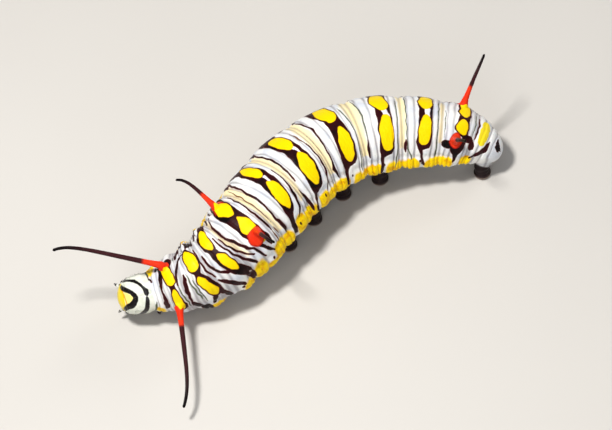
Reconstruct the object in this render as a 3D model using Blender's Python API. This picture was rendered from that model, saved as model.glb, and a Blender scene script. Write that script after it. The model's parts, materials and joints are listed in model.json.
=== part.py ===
"""Plain tiger butterfly larva (Danaus chrysippus), last instar, life size.

A still model in the pose of a larva that creeps round a bend with its front third rolled over
to one side. Metres, +Z up. The head points to -X, the tail to +X, and the larva's left flank
faces -Y. The origin is on the floor, under the middle of the model's box.
"""

import math

import bmesh
import bpy
import numpy as np

MM = 0.001
GAP = 0.3 * MM

# One row for each segment, from the head to the tail: name, length, bearing of its axis in plan
# (degrees from +X), height of its middle above the floor, radius, and lean of its back towards
# the far side (degrees). Lengths are in millimetres.
SEGMENTS = (
    ("head", 2.7, 1, 2.55, 1.58, -38),
    ("thorax_1", 1.3, 1, 2.95, 1.95, -40),
    ("thorax_2", 2.1, 3, 3.28, 2.56, -40),
    ("thorax_3", 2.05, 14, 3.72, 2.89, -29),
    ("abdomen_1", 2.3, 33, 4.21, 3.24, -15),
    ("abdomen_2", 3.3, 46, 4.66, 3.50, -7),
    ("abdomen_3", 3.75, 49, 5.0, 3.68, -1),
    ("abdomen_4", 4.0, 42, 5.1, 3.70, 0),
    ("abdomen_5", 4.4, 25.5, 4.9, 3.52, -4),
    ("abdomen_6", 4.0, 4.5, 4.6, 3.38, -4),
    ("abdomen_7", 3.5, -7, 4.2, 3.06, -5),
    ("abdomen_8", 2.7, -12, 3.75, 2.78, -4),
    ("abdomen_9", 1.25, -22, 3.1, 2.16, -2),
    ("abdomen_10", 1.7, -30, 2.4, 1.45, 0),
)
NAMES = [row[0] for row in SEGMENTS]
LENGTHS = np.array([row[1] for row in SEGMENTS]) * MM
EDGES = np.concatenate([[0.0], np.cumsum(LENGTHS)])
MIDDLES = (EDGES[1:] + EDGES[:-1]) / 2
BODY_LENGTH = EDGES[-1]

# Where the middle of the front of the head stands in plan
NOSE_X = -14.80 * MM
NOSE_Y = -1.98 * MM

# How far the bends and the sizes of neighbouring segments run into each other
STEP = 0.05 * MM
BEND_BLEND = 1.6 * MM
SIZE_BLEND = 0.8 * MM
BEYOND_ENDS = 3.0 * MM

# Steps over which the slope of the skin is measured
PROBE_STEP = 0.03 * MM
PROBE_TURN = 8.0

# Cross-section of the trunk
SIDES = 30
BELLY_DEPTH = 0.90
FOLD_ANGLE = 108.0
FOLD_WIDTH = 11.0
FOLD_RISE = 0.085
FOLD_LOBES = 2
FOLD_EVEN = 0.55
FOLD_SWING = 0.45
CREASE_DEPTH = 0.055
CREASE_WIDTH = 0.42 * MM
NECK_DEPTH = 0.12
NECK_WIDTH = 0.36 * MM
NECK_SLANT = 0.6 * MM
ANNULET_DEPTH = 0.014
LONG_SEGMENT = 3.0 * MM
RINGS_IN_LONG = 5
RINGS_IN_SHORT = 3

# Rounded ends, and the turns at which their rings stand (degrees)
HEAD_ROUND = 1.4 * MM
HEAD_TURNS = (8, 20, 32, 45, 60, 76)
TAIL_ROUND = 1.5 * MM
TAIL_TURNS = (0, 25, 45, 60, 73, 84)

# Head
HEAD_SIDES = 32
HEAD_SHARES = (0.15, 0.3, 0.45, 0.6, 0.75, 0.88, 1.0)
FIRST_SHARES = (0.0, 0.12, 0.25, 0.4, 0.55, 0.7, 0.85, 1.0)
SUTURE_DEPTH = 0.05
SUTURE_WIDTH = 12.0
LOBE_RISE = 0.025
LOBE_ANGLE = 42.0
LOBE_WIDTH = 24.0
EYE_RADIUS = 0.13 * MM
EYE_RING = 0.34 * MM
EYE_PLACE = (0.72 * MM, 112.0)
EYE_ARC = (-70, -18, 34, 86, 138)
EYE_INNER = (0.12 * MM, 0.25)
CHEEK_RADIUS = 1.28 * MM
ANTENNA_PLACE = (0.36 * MM, 126.0)
ANTENNA_LENGTH = 0.45 * MM
ANTENNA_RADIUS = 0.21 * MM
ANTENNA_FORWARD = 1.0
ANTENNA_RINGS = ((0.35, 1.0), (0.7, 0.8), (1.0, 0.45))

# Mouthparts, as rounded forms on the front and underside of the head. Each has its place from the
# front of the head, angle from the mid-back, height over the skin, and half-sizes across the
# head, along the skin and through it, in millimetres.
MOUTH_FORMS = (
    ("middle", 0.42, 180, 0.48, 0.62, 0.46, 0.36),
    ("upper_lip_left", 0.12, -166, 0.42, 0.34, 0.34, 0.28),
    ("upper_lip_right", 0.12, 166, 0.42, 0.34, 0.34, 0.28),
    ("jaw_left", 0.36, -156, 0.50, 0.40, 0.38, 0.36),
    ("jaw_right", 0.36, 156, 0.50, 0.40, 0.38, 0.36),
    ("lower_lip", 0.78, 180, 0.44, 0.50, 0.44, 0.36),
    ("spinneret", 0.68, 180, 0.74, 0.15, 0.15, 0.30),
    ("feeler_left", 0.66, -168, 0.62, 0.17, 0.16, 0.32),
    ("feeler_right", 0.66, 168, 0.62, 0.17, 0.16, 0.32),
)

# Front legs: the left ones reach further, as the front third is rolled over to that side
LEG_SHARE = 0.55
LEG_ANGLE = 152.0
LEG_RADIUS = 0.42 * MM
LEG_TIP = 0.16 * MM
LEG_JOINT_RISE = 0.08
LEG_KNEE = 0.7 * MM
LEG_ANKLE = 0.8 * MM
LEG_REACH_LEFT = 0.9 * MM
LEG_REACH_RIGHT = 0.75 * MM
LEG_REACH_FORWARD = 0.5 * MM

# Prolegs, with the flat soles that the larva stands on
PROLEG_SHARE = 0.52
PROLEG_ANGLE = 155.0
PROLEG_RADIUS = 0.95 * MM
PROLEG_NECK = 0.64 * MM
PROLEG_SPREAD = 1.0 * MM
PROLEG_BEND = 0.35
FOOT_RADIUS = 0.72 * MM
FOOT_DEPTH = 0.35 * MM
SOLE_RINGS = ((0.45, 1.08), (0.16, 1.1), (0.0, 1.0))
ANAL_SHARE = 0.3
ANAL_ANGLE = 148.0
ANAL_RADIUS = 0.68 * MM
ANAL_NECK = 0.62 * MM
ANAL_REACH = 0.5 * MM
ANAL_BACK = 0.15 * MM

# Tentacles: segment, place along it (0 to 1), angle from the mid-back (negative is the larva's
# left), length, bearing and rise of its root, bearing and rise of its tip, root and tip radius,
# and how far out its bend sits: 1 spreads it evenly, larger values bring it to the tip. Lengths
# are in millimetres.
TENTACLES = (
    ("tentacle_thorax_left", "thorax_2", 0.51, -45, 9.3, -90, -5, -127, -48, 0.36, 0.13, 6.5),
    ("tentacle_thorax_right", "thorax_2", 0.40, 43, 9.5, 168, 18, 204, 2, 0.36, 0.13, 8.0),
    ("tentacle_front_left", "abdomen_2", 0.53, -30, 4.3, -76, 42, -50, 20, 0.34, 0.12, 2.0),
    ("tentacle_front_right", "abdomen_2", 0.50, 42, 4.2, 137, 33, 191, 7, 0.34, 0.12, 4.7),
    ("tentacle_rear_left", "abdomen_8", 0.42, -40, 4.1, -82, 54, -60, 40, 0.34, 0.12, 2.0),
    ("tentacle_rear_right", "abdomen_8", 0.53, 38, 4.8, 41, 56, 61, 11, 0.34, 0.12, 2.1),
)

LONG_TENTACLE = 8.0
RINGS_ON_LONG = 18
RINGS_ON_SHORT = 9
ROOT_FLARE = 1.25
TAPER = 0.8
ROOT_BEND = 1.6

WHITE = (0.86, 0.84, 0.80)
BLACK = (0.03, 0.022, 0.02)
YELLOW = (0.85, 0.62, 0.03)
RED = (0.62, 0.08, 0.04)


def blended(values, width):
    """Spread one value for each segment smoothly along the body."""
    pad = int(BEYOND_ENDS / STEP)
    stations = np.arange(-pad, len(STATIONS) + pad) * STEP
    line = np.interp(stations, MIDDLES, values)
    count = int(width / STEP) | 1
    box = np.ones(count) / count
    line = np.convolve(np.convolve(line, box, "same"), box, "same")
    return line[pad:-pad]


STATIONS = np.arange(int(round(BODY_LENGTH / STEP)) + 1) * STEP
BEARING = np.radians(blended([row[2] for row in SEGMENTS], BEND_BLEND))
HEIGHT = blended([row[3] * MM for row in SEGMENTS], BEND_BLEND)
RADIUS = blended([row[4] * MM for row in SEGMENTS], SIZE_BLEND)
LEAN = np.radians(blended([row[5] for row in SEGMENTS], BEND_BLEND))


def body_axes():
    """Points on the body's axis, and its three directions: to the tail, to the right, to the back."""
    climb = np.gradient(HEIGHT, STEP)
    level = np.sqrt(1 - climb ** 2)
    east = np.cumsum(level * np.cos(BEARING)) * STEP
    north = np.cumsum(level * np.sin(BEARING)) * STEP
    points = np.stack([NOSE_X + east - east[0], NOSE_Y + north - north[0], HEIGHT], axis=1)
    tail = np.gradient(points, axis=0)
    tail /= np.linalg.norm(tail, axis=1)[:, None]
    side = np.cross([0.0, 0.0, 1.0], tail)
    side /= np.linalg.norm(side, axis=1)[:, None]
    up = np.cross(tail, side)
    turn_cos = np.cos(LEAN)[:, None]
    turn_sin = np.sin(LEAN)[:, None]
    return points, tail, side * turn_cos - up * turn_sin, up * turn_cos + side * turn_sin


AXIS, TAILWARD, RIGHTWARD, BACKWARD = body_axes()


def along(table, place):
    """The row of a table of vectors at a place along the body."""
    return np.array([np.interp(place, STATIONS, table[:, k]) for k in range(3)])


def nearest_crease(place):
    """How far off the nearest crease between two segments behind the head is."""
    return float(np.min(np.abs(EDGES[2:-1] - place)))


def neck_place(angle):
    """The neck slants: the head reaches furthest back on top, and least under the chin."""
    return EDGES[1] + NECK_SLANT * math.cos(math.radians(angle))


def rings_in(index):
    """How many small rings a segment is folded into."""
    return RINGS_IN_LONG if LENGTHS[index] > LONG_SEGMENT else RINGS_IN_SHORT


def annulet(place):
    """Small rings within a segment: 1 on a crest, -1 in a furrow."""
    index = int(np.clip(np.searchsorted(EDGES, place, side="right") - 1, 1, len(NAMES) - 1))
    across = (place - EDGES[index]) / LENGTHS[index]
    return -math.cos(2 * math.pi * rings_in(index) * across), across


def round_ends(place):
    """Radius factor that closes the front of the head and the end of the tail."""
    front = max(0.0, 1 - place / HEAD_ROUND)
    rear = max(0.0, 1 - (BODY_LENGTH - place) / TAIL_ROUND)
    return math.sqrt(max(0.0, 1 - front ** 2)) * math.sqrt(max(0.0, 1 - rear ** 2))


def skin_radius(place, angle):
    """Distance from the axis to the skin, for an angle in degrees from the mid-back."""
    turn = abs((angle + 180) % 360 - 180)
    size = np.interp(place, STATIONS, RADIUS) * round_ends(place)
    belly = (1 - BELLY_DEPTH) * max(0.0, -math.cos(math.radians(turn))) ** 2
    neck = NECK_DEPTH * math.exp(-((neck_place(angle) - place) / NECK_WIDTH) ** 2)
    if place < neck_place(angle):
        suture = SUTURE_DEPTH * math.exp(-(turn / SUTURE_WIDTH) ** 2)
        lobe = LOBE_RISE * math.exp(-((turn - LOBE_ANGLE) / LOBE_WIDTH) ** 2)
        return size * (1 - belly - neck - suture + lobe)
    crease = CREASE_DEPTH * math.exp(-(nearest_crease(place) / CREASE_WIDTH) ** 2)
    ring, across = annulet(place)
    lobe = FOLD_EVEN - FOLD_SWING * math.cos(2 * math.pi * FOLD_LOBES * across)
    fold = FOLD_RISE * lobe * math.exp(-((turn - FOLD_ANGLE) / FOLD_WIDTH) ** 2)
    return size * (1 - belly - neck - crease + ANNULET_DEPTH * ring + fold)


def out_direction(place, angle):
    """The direction from the axis to the skin at an angle from the mid-back."""
    turn = math.radians(angle)
    return math.cos(turn) * along(BACKWARD, place) + math.sin(turn) * along(RIGHTWARD, place)


def skin_point(place, angle, lift=0.0):
    """A point on the skin, or that far outside it."""
    reach = skin_radius(place, angle) + lift
    return along(AXIS, place) + out_direction(place, angle) * reach


def finish(body, colour, roughness=0.5):
    material = bpy.data.materials.new(body.name)
    material.use_nodes = True
    shader = material.node_tree.nodes["Principled BSDF"]
    shader.inputs["Base Color"].default_value = (*colour, 1.0)
    shader.inputs["Roughness"].default_value = roughness
    shader.inputs["Metallic"].default_value = 0.0
    body.data.materials.append(material)


def loft(name, rings, start, end):
    """A closed body through rings of equal count, closed at each end round a middle point."""
    mesh = bmesh.new()
    rows = [[mesh.verts.new(point) for point in ring] for ring in rings]
    count = len(rows[0])
    first = mesh.verts.new(start)
    last = mesh.verts.new(end)
    for k in range(count):
        after = (k + 1) % count
        mesh.faces.new((first, rows[0][after], rows[0][k]))
        mesh.faces.new((last, rows[-1][k], rows[-1][after]))
        for near, far in zip(rows, rows[1:]):
            mesh.faces.new((near[k], near[after], far[after], far[k]))
    bmesh.ops.recalc_face_normals(mesh, faces=mesh.faces)
    if mesh.calc_volume(signed=True) < 0:
        bmesh.ops.reverse_faces(mesh, faces=mesh.faces)
    bmesh.ops.triangulate(mesh, faces=mesh.faces)
    data = bpy.data.meshes.new(name)
    mesh.to_mesh(data)
    mesh.free()
    body = bpy.data.objects.new(name, data)
    bpy.context.collection.objects.link(body)
    data.shade_smooth()
    return body


def combine(body, pieces, operation):
    """Join small forms to a body, or cut them from it, in one step, and remove them."""
    group = bpy.data.collections.new(body.name + "_forms")
    bpy.context.scene.collection.children.link(group)
    for piece in pieces:
        bpy.context.collection.objects.unlink(piece)
        group.objects.link(piece)
    change = body.modifiers.new("Combine", "BOOLEAN")
    change.operation = operation
    change.operand_type = "COLLECTION"
    change.collection = group
    change.solver = "EXACT"
    with bpy.context.temp_override(object=body, active_object=body):
        bpy.ops.object.modifier_apply(modifier=change.name)
    for piece in pieces:
        bpy.data.objects.remove(piece)
    bpy.data.collections.remove(group)


def skin_axes(place, angle):
    """Directions round the skin, along it and through it at one of its points."""
    around = skin_point(place, angle + PROBE_TURN) - skin_point(place, angle - PROBE_TURN)
    around /= np.linalg.norm(around)
    along_it = skin_point(place + PROBE_STEP, angle) - skin_point(place - PROBE_STEP, angle)
    along_it -= around * np.dot(around, along_it)
    along_it /= np.linalg.norm(along_it)
    return np.array([around, along_it, np.cross(around, along_it)])


def skin_ring(place, sides, lift=0.0):
    turn = 360 / sides
    return [skin_point(place, k * turn, lift) for k in range(sides)]


def slanted_ring(share, sides, front, rear, lift=0.0):
    """A ring at a share of the way from one place to another, each of which may slant."""
    ring = []
    for k in range(sides):
        angle = k * 360 / sides
        place = front(angle) + share * (rear(angle) - front(angle))
        ring.append(skin_point(place, angle, lift))
    return ring


def trunk_places(index):
    """Where the rings of a segment stand: at its ends, and on each crest and furrow."""
    first = EDGES[index] + GAP / 2
    last = EDGES[index + 1] - GAP / 2
    count = 2 * rings_in(index)
    inner = [EDGES[index] + LENGTHS[index] * k / count for k in range(1, count)]
    return [first] + inner + [last]


def build_first_segment():
    """The segment behind the head, whose front edge slants as the neck does."""
    rear = EDGES[2] - GAP / 2
    rings = [slanted_ring(share, SIDES, lambda angle: neck_place(angle) + GAP / 2, lambda angle: rear)
             for share in FIRST_SHARES]
    start = along(AXIS, EDGES[1] + GAP / 2)
    finish(loft("thorax_1", rings, start, along(AXIS, rear)), WHITE, 0.45)


def build_trunk():
    build_first_segment()
    for index in range(2, len(NAMES)):
        places = trunk_places(index)
        start = along(AXIS, places[0])
        if index == len(NAMES) - 1:
            keep = [p for p in places if p < BODY_LENGTH - TAIL_ROUND]
            turns = np.radians(TAIL_TURNS)
            places = keep + [BODY_LENGTH - TAIL_ROUND * (1 - math.sin(t)) for t in turns]
            end = along(AXIS, BODY_LENGTH)
        else:
            end = along(AXIS, places[-1])
        rings = [skin_ring(place, SIDES) for place in places]
        finish(loft(NAMES[index], rings, start, end), WHITE, 0.45)


def dome(name, centre, radius, stretch=(1, 1, 1), axes=None, steps=4, sides=8):
    """A small ball, stretched along its own axes."""
    axes = np.eye(3) if axes is None else axes
    rings = []
    for k in range(1, steps):
        polar = math.pi * k / steps
        ring = []
        for m in range(sides):
            turn = 2 * math.pi * m / sides
            local = np.array([math.sin(polar) * math.cos(turn), math.sin(polar) * math.sin(turn),
                              math.cos(polar)]) * stretch * radius
            ring.append(centre + axes.T @ local)
        rings.append(ring)
    top = centre + axes.T @ (np.array([0, 0, stretch[2]]) * radius)
    foot = centre - axes.T @ (np.array([0, 0, stretch[2]]) * radius)
    return loft(name, rings, top, foot)


def eye_places(side):
    """Six simple eyes on each side: five on an arc and one inside it."""
    middle, angle = EYE_PLACE
    reach = math.degrees(EYE_RING / CHEEK_RADIUS)
    for turn in np.radians(EYE_ARC):
        yield middle - EYE_RING * math.cos(turn), side * (angle + reach * math.sin(turn))
    further, lower = EYE_INNER
    yield middle + further, side * (angle + lower * reach)


def head_shell(name, lift=0.0):
    """The head capsule, or the same shape grown by a gap, which cuts what sits on it."""
    places = [HEAD_ROUND * (1 - math.cos(t)) for t in np.radians(HEAD_TURNS)]
    rings = [skin_ring(place, HEAD_SIDES, lift) for place in places]
    for share in HEAD_SHARES:
        rings.append(slanted_ring(share, HEAD_SIDES, lambda angle: HEAD_ROUND,
                                  lambda angle: neck_place(angle) - GAP / 2, lift))
    front = along(AXIS, 0.0) - along(TAILWARD, 0.0) * lift
    return loft(name, rings, front, along(AXIS, EDGES[1] - GAP / 2))


def build_head():
    head = head_shell("head")
    eyes = []
    for side in (-1, 1):
        for place, angle in eye_places(side):
            eyes.append(dome("eye", skin_point(place, angle), EYE_RADIUS))
    combine(head, eyes, "UNION")
    finish(head, BLACK, 0.3)


def root_patch(place, angle, size_along, size_around, sides, lift=GAP):
    """Rings of a root that lies a gap outside the skin, from its middle to its rim."""
    reach = math.degrees(size_around / skin_radius(place, angle))
    rings = []
    for share in (0.5, 1.0):
        ring = []
        for k in range(sides):
            turn = 2 * math.pi * k / sides
            ring.append(skin_point(place + share * size_along * math.cos(turn),
                                   angle + share * reach * math.sin(turn), lift))
        rings.append(ring)
    return rings


def ring_about(centre, direction, tailward, radius, sides, squash=1.0):
    """A round ring across a direction, lined up with the rings of a root."""
    first = tailward - direction * np.dot(tailward, direction)
    first /= np.linalg.norm(first)
    second = np.cross(direction, first)
    turns = [2 * math.pi * k / sides for k in range(sides)]
    return [centre + radius * (math.cos(t) * first + squash * math.sin(t) * second) for t in turns]


def curve(points, count):
    """Points and directions along a smooth curve through four control points."""
    p0, p1, p2, p3 = [np.asarray(p, dtype=float) for p in points]
    for k in range(1, count + 1):
        t = k / count
        place = ((1 - t) ** 3) * p0 + 3 * t * (1 - t) ** 2 * p1 + 3 * t * t * (1 - t) * p2 + t ** 3 * p3
        slope = 3 * (1 - t) ** 2 * (p1 - p0) + 6 * t * (1 - t) * (p2 - p1) + 3 * t * t * (p3 - p2)
        yield t, place, slope / np.linalg.norm(slope)


def build_foot(name, place, angle, foot, root_radius, neck, sides=12):
    """A proleg: a fleshy stub from the belly down to a flat sole on the floor."""
    patch = root_patch(place, angle, root_radius, root_radius, sides)
    root = skin_point(place, angle, GAP)
    out = out_direction(place, angle)
    tailward = along(TAILWARD, place)
    down = np.array([0.0, 0.0, -1.0])
    drop = root[2] - FOOT_DEPTH
    ankle = np.array([foot[0], foot[1], FOOT_DEPTH])
    bend = drop * PROLEG_BEND
    controls = (root, root + out * bend, ankle - down * bend, ankle)
    rings = list(patch)
    for t, centre, direction in curve(controls, 4):
        radius = root_radius + (neck - root_radius) * t
        rings.append(ring_about(centre, direction, tailward, radius, sides))
    for height, radius in SOLE_RINGS:
        centre = np.array([foot[0], foot[1], FOOT_DEPTH * height])
        rings.append(ring_about(centre, down, tailward, FOOT_RADIUS * radius, sides))
    return loft(name, rings, root, np.array([foot[0], foot[1], 0.0]))


def build_prolegs():
    for number in (3, 4, 5, 6):
        index = NAMES.index("abdomen_%d" % number)
        place = EDGES[index] + PROLEG_SHARE * LENGTHS[index]
        for side, word in ((-1, "left"), (1, "right")):
            angle = side * PROLEG_ANGLE
            foot = skin_point(place, angle, PROLEG_SPREAD)
            body = build_foot("proleg_%d_%s" % (number, word), place, angle, foot,
                              PROLEG_RADIUS, PROLEG_NECK)
            finish(body, BLACK, 0.5)
    place = EDGES[-2] + ANAL_SHARE * LENGTHS[-1]
    for side, word in ((-1, "left"), (1, "right")):
        angle = side * ANAL_ANGLE
        foot = skin_point(place, angle, ANAL_REACH) + along(TAILWARD, place) * ANAL_BACK
        body = build_foot("proleg_anal_" + word, place, angle, foot, ANAL_RADIUS, ANAL_NECK)
        finish(body, BLACK, 0.4)


def build_leg(name, place, angle, foot, sides=10):
    """A jointed front leg, which ends in a small flat on the floor."""
    patch = root_patch(place, angle, LEG_RADIUS, LEG_RADIUS, sides)
    root = skin_point(place, angle, GAP)
    out = out_direction(place, angle)
    tailward = along(TAILWARD, place)
    knee = root + out * LEG_KNEE
    ankle = np.array([foot[0], foot[1], LEG_ANKLE])
    rings = list(patch)
    for t, centre, direction in curve((root, knee, ankle, foot), 7):
        if t == 1.0:
            direction = np.array([0.0, 0.0, -1.0])
        radius = LEG_RADIUS + (LEG_TIP - LEG_RADIUS) * t
        radius *= 1 + LEG_JOINT_RISE * math.cos(2 * math.pi * 3 * t)
        rings.append(ring_about(centre, direction, tailward, radius, sides))
    body = loft(name, rings, root, foot)
    finish(body, BLACK, 0.3)


def build_legs():
    for number in (1, 2, 3):
        index = NAMES.index("thorax_%d" % number)
        place = EDGES[index] + LEG_SHARE * LENGTHS[index]
        for side, word in ((-1, "left"), (1, "right")):
            angle = side * LEG_ANGLE
            reach = LEG_REACH_LEFT if side < 0 else LEG_REACH_RIGHT
            across = np.array([0.0, side, 0.0]) * reach
            foot = skin_point(place, angle) + across - along(TAILWARD, place) * LEG_REACH_FORWARD
            foot[2] = 0.0
            build_leg("leg_%d_%s" % (number, word), place, angle, foot)


def compass(bearing, rise):
    """The direction at a bearing in plan and a rise over the horizon, in degrees."""
    turn = math.radians(bearing)
    level = math.cos(math.radians(rise))
    return np.array([level * math.cos(turn), level * math.sin(turn), math.sin(math.radians(rise))])


def build_tentacle(row, sides=10):
    """A fleshy feeler that bends from the heading of its root to that of its tip."""
    name, segment, share, angle, length, bearing_0, rise_0, bearing_1, rise_1, wide, thin, power = row
    index = NAMES.index(segment)
    place = EDGES[index] + share * LENGTHS[index]
    count = RINGS_ON_LONG if length > LONG_TENTACLE else RINGS_ON_SHORT
    stride = length * MM / count
    root = skin_point(place, angle, GAP)
    out = out_direction(place, angle)
    tailward = along(TAILWARD, place)
    flare = wide * ROOT_FLARE * MM
    rings = root_patch(place, angle, flare, flare, sides)
    centre = root
    for k in range(1, count + 1):
        t = k / count
        bend = t ** power
        bearing = bearing_0 + (bearing_1 - bearing_0) * bend
        heading = compass(bearing, rise_0 + (rise_1 - rise_0) * bend)
        blend = max(0.0, 1 - k / ROOT_BEND)
        direction = heading * (1 - blend) + out * blend
        direction /= np.linalg.norm(direction)
        centre = centre + direction * stride
        radius = (thin + (wide - thin) * (1 - t) ** TAPER) * MM
        rings.append(ring_about(centre, direction, tailward, radius, sides))
    body = loft(name, rings, root, centre + direction * thin * MM)
    finish(body, BLACK if length > LONG_TENTACLE else RED, 0.45)


def build_antennae(sides=8):
    place, angle = ANTENNA_PLACE
    for side, word in ((-1, "left"), (1, "right")):
        rings = root_patch(place, side * angle, ANTENNA_RADIUS, ANTENNA_RADIUS, sides)
        root = skin_point(place, side * angle, GAP)
        forward = out_direction(place, side * angle) * ANTENNA_FORWARD - along(TAILWARD, place)
        forward /= np.linalg.norm(forward)
        for share, size in ANTENNA_RINGS:
            centre = root + forward * ANTENNA_LENGTH * share
            rings.append(ring_about(centre, forward, along(TAILWARD, place), ANTENNA_RADIUS * size, sides))
        tip = root + forward * (ANTENNA_LENGTH + ANTENNA_RADIUS / 2)
        finish(loft("antenna_" + word, rings, root, tip), YELLOW, 0.4)


def build_mouthparts():
    """Upper lip, jaws and lower lip, joined and cut clear of the head by a gap."""
    forms = []
    for name, place, angle, height, across, down, through in MOUTH_FORMS:
        centre = skin_point(place * MM, angle, height * MM)
        axes = skin_axes(place * MM, angle)
        forms.append(dome(name, centre, MM, (across, down, through), axes, 5, 10))
    mouth = forms[0]
    mouth.name = "mouthparts"
    mouth.data.name = "mouthparts"
    combine(mouth, forms[1:], "UNION")
    combine(mouth, [head_shell("head_cutter", GAP)], "DIFFERENCE")
    finish(mouth, YELLOW, 0.4)


def main():
    for body in list(bpy.data.objects):
        bpy.data.objects.remove(body)
    build_head()
    build_mouthparts()
    build_antennae()
    build_trunk()
    build_legs()
    build_prolegs()
    for row in TENTACLES:
        build_tentacle(row)


main()
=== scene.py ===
"""Looks of the plain tiger butterfly larva: one marked skin, head, legs, hooks and hairs.

Everything stands in the frame's metres: +X to the tail, -Y to the larva's left, floor at 0.
"""
import json
import math

import bpy
import numpy as np
from mathutils import Matrix, Vector

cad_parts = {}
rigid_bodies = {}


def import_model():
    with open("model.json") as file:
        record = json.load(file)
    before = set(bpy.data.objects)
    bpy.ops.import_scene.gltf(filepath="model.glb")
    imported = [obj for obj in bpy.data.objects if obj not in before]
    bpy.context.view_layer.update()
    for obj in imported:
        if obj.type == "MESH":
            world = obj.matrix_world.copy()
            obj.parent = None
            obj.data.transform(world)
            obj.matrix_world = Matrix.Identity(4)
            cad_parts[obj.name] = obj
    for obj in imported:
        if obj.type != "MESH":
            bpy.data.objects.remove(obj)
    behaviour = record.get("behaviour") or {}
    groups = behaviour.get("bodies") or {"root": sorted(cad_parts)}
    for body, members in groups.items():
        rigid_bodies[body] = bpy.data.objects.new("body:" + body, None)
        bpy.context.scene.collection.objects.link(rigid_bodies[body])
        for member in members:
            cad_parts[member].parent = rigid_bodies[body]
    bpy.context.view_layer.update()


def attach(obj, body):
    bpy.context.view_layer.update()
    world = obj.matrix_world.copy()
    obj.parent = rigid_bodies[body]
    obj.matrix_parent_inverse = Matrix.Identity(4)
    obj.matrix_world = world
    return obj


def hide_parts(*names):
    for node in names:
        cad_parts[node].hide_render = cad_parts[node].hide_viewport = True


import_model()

MM = 0.001
TINY = 1e-9
SIDES = ((-1, "left"), (1, "right"))
DOWN = np.array([0.0, 0.0, -1.0])

# Segments, from the head to the tail: name, length, bearing in plan (degrees), height of the
# middle above the floor, radius, and lean of the back (degrees). Lengths are in millimetres.
SEGMENTS = (
    ("head", 2.7, 1, 2.55, 1.58, -38),
    ("thorax_1", 1.3, 1, 2.95, 1.95, -40),
    ("thorax_2", 2.1, 3, 3.28, 2.56, -40),
    ("thorax_3", 2.05, 14, 3.72, 2.89, -29),
    ("abdomen_1", 2.3, 33, 4.21, 3.24, -15),
    ("abdomen_2", 3.3, 46, 4.66, 3.50, -7),
    ("abdomen_3", 3.75, 49, 5.0, 3.68, -1),
    ("abdomen_4", 4.0, 42, 5.1, 3.70, 0),
    ("abdomen_5", 4.4, 25.5, 4.9, 3.52, -4),
    ("abdomen_6", 4.0, 4.5, 4.6, 3.38, -4),
    ("abdomen_7", 3.5, -7, 4.2, 3.06, -5),
    ("abdomen_8", 2.7, -12, 3.75, 2.78, -4),
    ("abdomen_9", 1.25, -22, 3.1, 2.16, -2),
    ("abdomen_10", 1.7, -30, 2.4, 1.45, 0),
)
NAMES = [row[0] for row in SEGMENTS]
LENGTHS = np.array([row[1] for row in SEGMENTS]) * MM
EDGES = np.concatenate([[0.0], np.cumsum(LENGTHS)])
MIDDLES = (EDGES[1:] + EDGES[:-1]) / 2
BODY_LENGTH = EDGES[-1]
NOSE_X = -14.80 * MM
NOSE_Y = -1.98 * MM
STEP = 0.05 * MM
BEND_BLEND = 1.6 * MM
SIZE_BLEND = 0.8 * MM
BEYOND_ENDS = 3.0 * MM

# Camera: it looks down at the larva's left side, rolled a little, from the photo's viewpoint
IMAGE = (612, 430)
ELEVATION = 54.0
ROLL = -8.0
DISTANCE = 350 * MM
PIXELS_PER_MM = 11.7
ANCHOR_PLACE = 23.4 * MM
ANCHOR_PIXEL = (327.95, 150.75)
SENSOR = 36.0
CLIP = (0.01, 5.0)


def blended(values, width):
    """Spread one value for each segment smoothly along the body."""
    pad = int(BEYOND_ENDS / STEP)
    stations = np.arange(-pad, len(STATIONS) + pad) * STEP
    line = np.interp(stations, MIDDLES, values)
    count = int(width / STEP) | 1
    box = np.ones(count) / count
    line = np.convolve(np.convolve(line, box, "same"), box, "same")
    return line[pad:-pad]


STATIONS = np.arange(int(round(BODY_LENGTH / STEP)) + 1) * STEP
BEARING = np.radians(blended([row[2] for row in SEGMENTS], BEND_BLEND))
HEIGHT = blended([row[3] * MM for row in SEGMENTS], BEND_BLEND)
RADIUS = blended([row[4] * MM for row in SEGMENTS], SIZE_BLEND)
LEAN = np.radians(blended([row[5] for row in SEGMENTS], BEND_BLEND))


def body_axes():
    """Points on the body's axis, and its three directions: to the tail, to the right, to the back."""
    climb = np.gradient(HEIGHT, STEP)
    level = np.sqrt(1 - climb ** 2)
    east = np.cumsum(level * np.cos(BEARING)) * STEP
    north = np.cumsum(level * np.sin(BEARING)) * STEP
    points = np.stack([NOSE_X + east - east[0], NOSE_Y + north - north[0], HEIGHT], axis=1)
    tail = np.gradient(points, axis=0)
    tail /= np.linalg.norm(tail, axis=1)[:, None]
    side = np.cross([0.0, 0.0, 1.0], tail)
    side /= np.linalg.norm(side, axis=1)[:, None]
    up = np.cross(tail, side)
    turn_cos = np.cos(LEAN)[:, None]
    turn_sin = np.sin(LEAN)[:, None]
    return points, tail, side * turn_cos - up * turn_sin, up * turn_cos + side * turn_sin


AXIS, TAILWARD, RIGHTWARD, BACKWARD = body_axes()


def along(table, place):
    """Rows of a table of vectors at places along the body."""
    return np.stack([np.interp(place, STATIONS, table[:, k]) for k in range(3)], axis=-1)


def out_direction(place, angle):
    """The direction out of the body at a place and an angle from the mid-back."""
    turn = np.radians(angle)[..., None]
    return np.cos(turn) * along(BACKWARD, place) + np.sin(turn) * along(RIGHTWARD, place)


def off_axis(place, angle, reach):
    """Points at distances from the body's axis."""
    return along(AXIS, place) + out_direction(place, angle) * reach[..., None]


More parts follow.
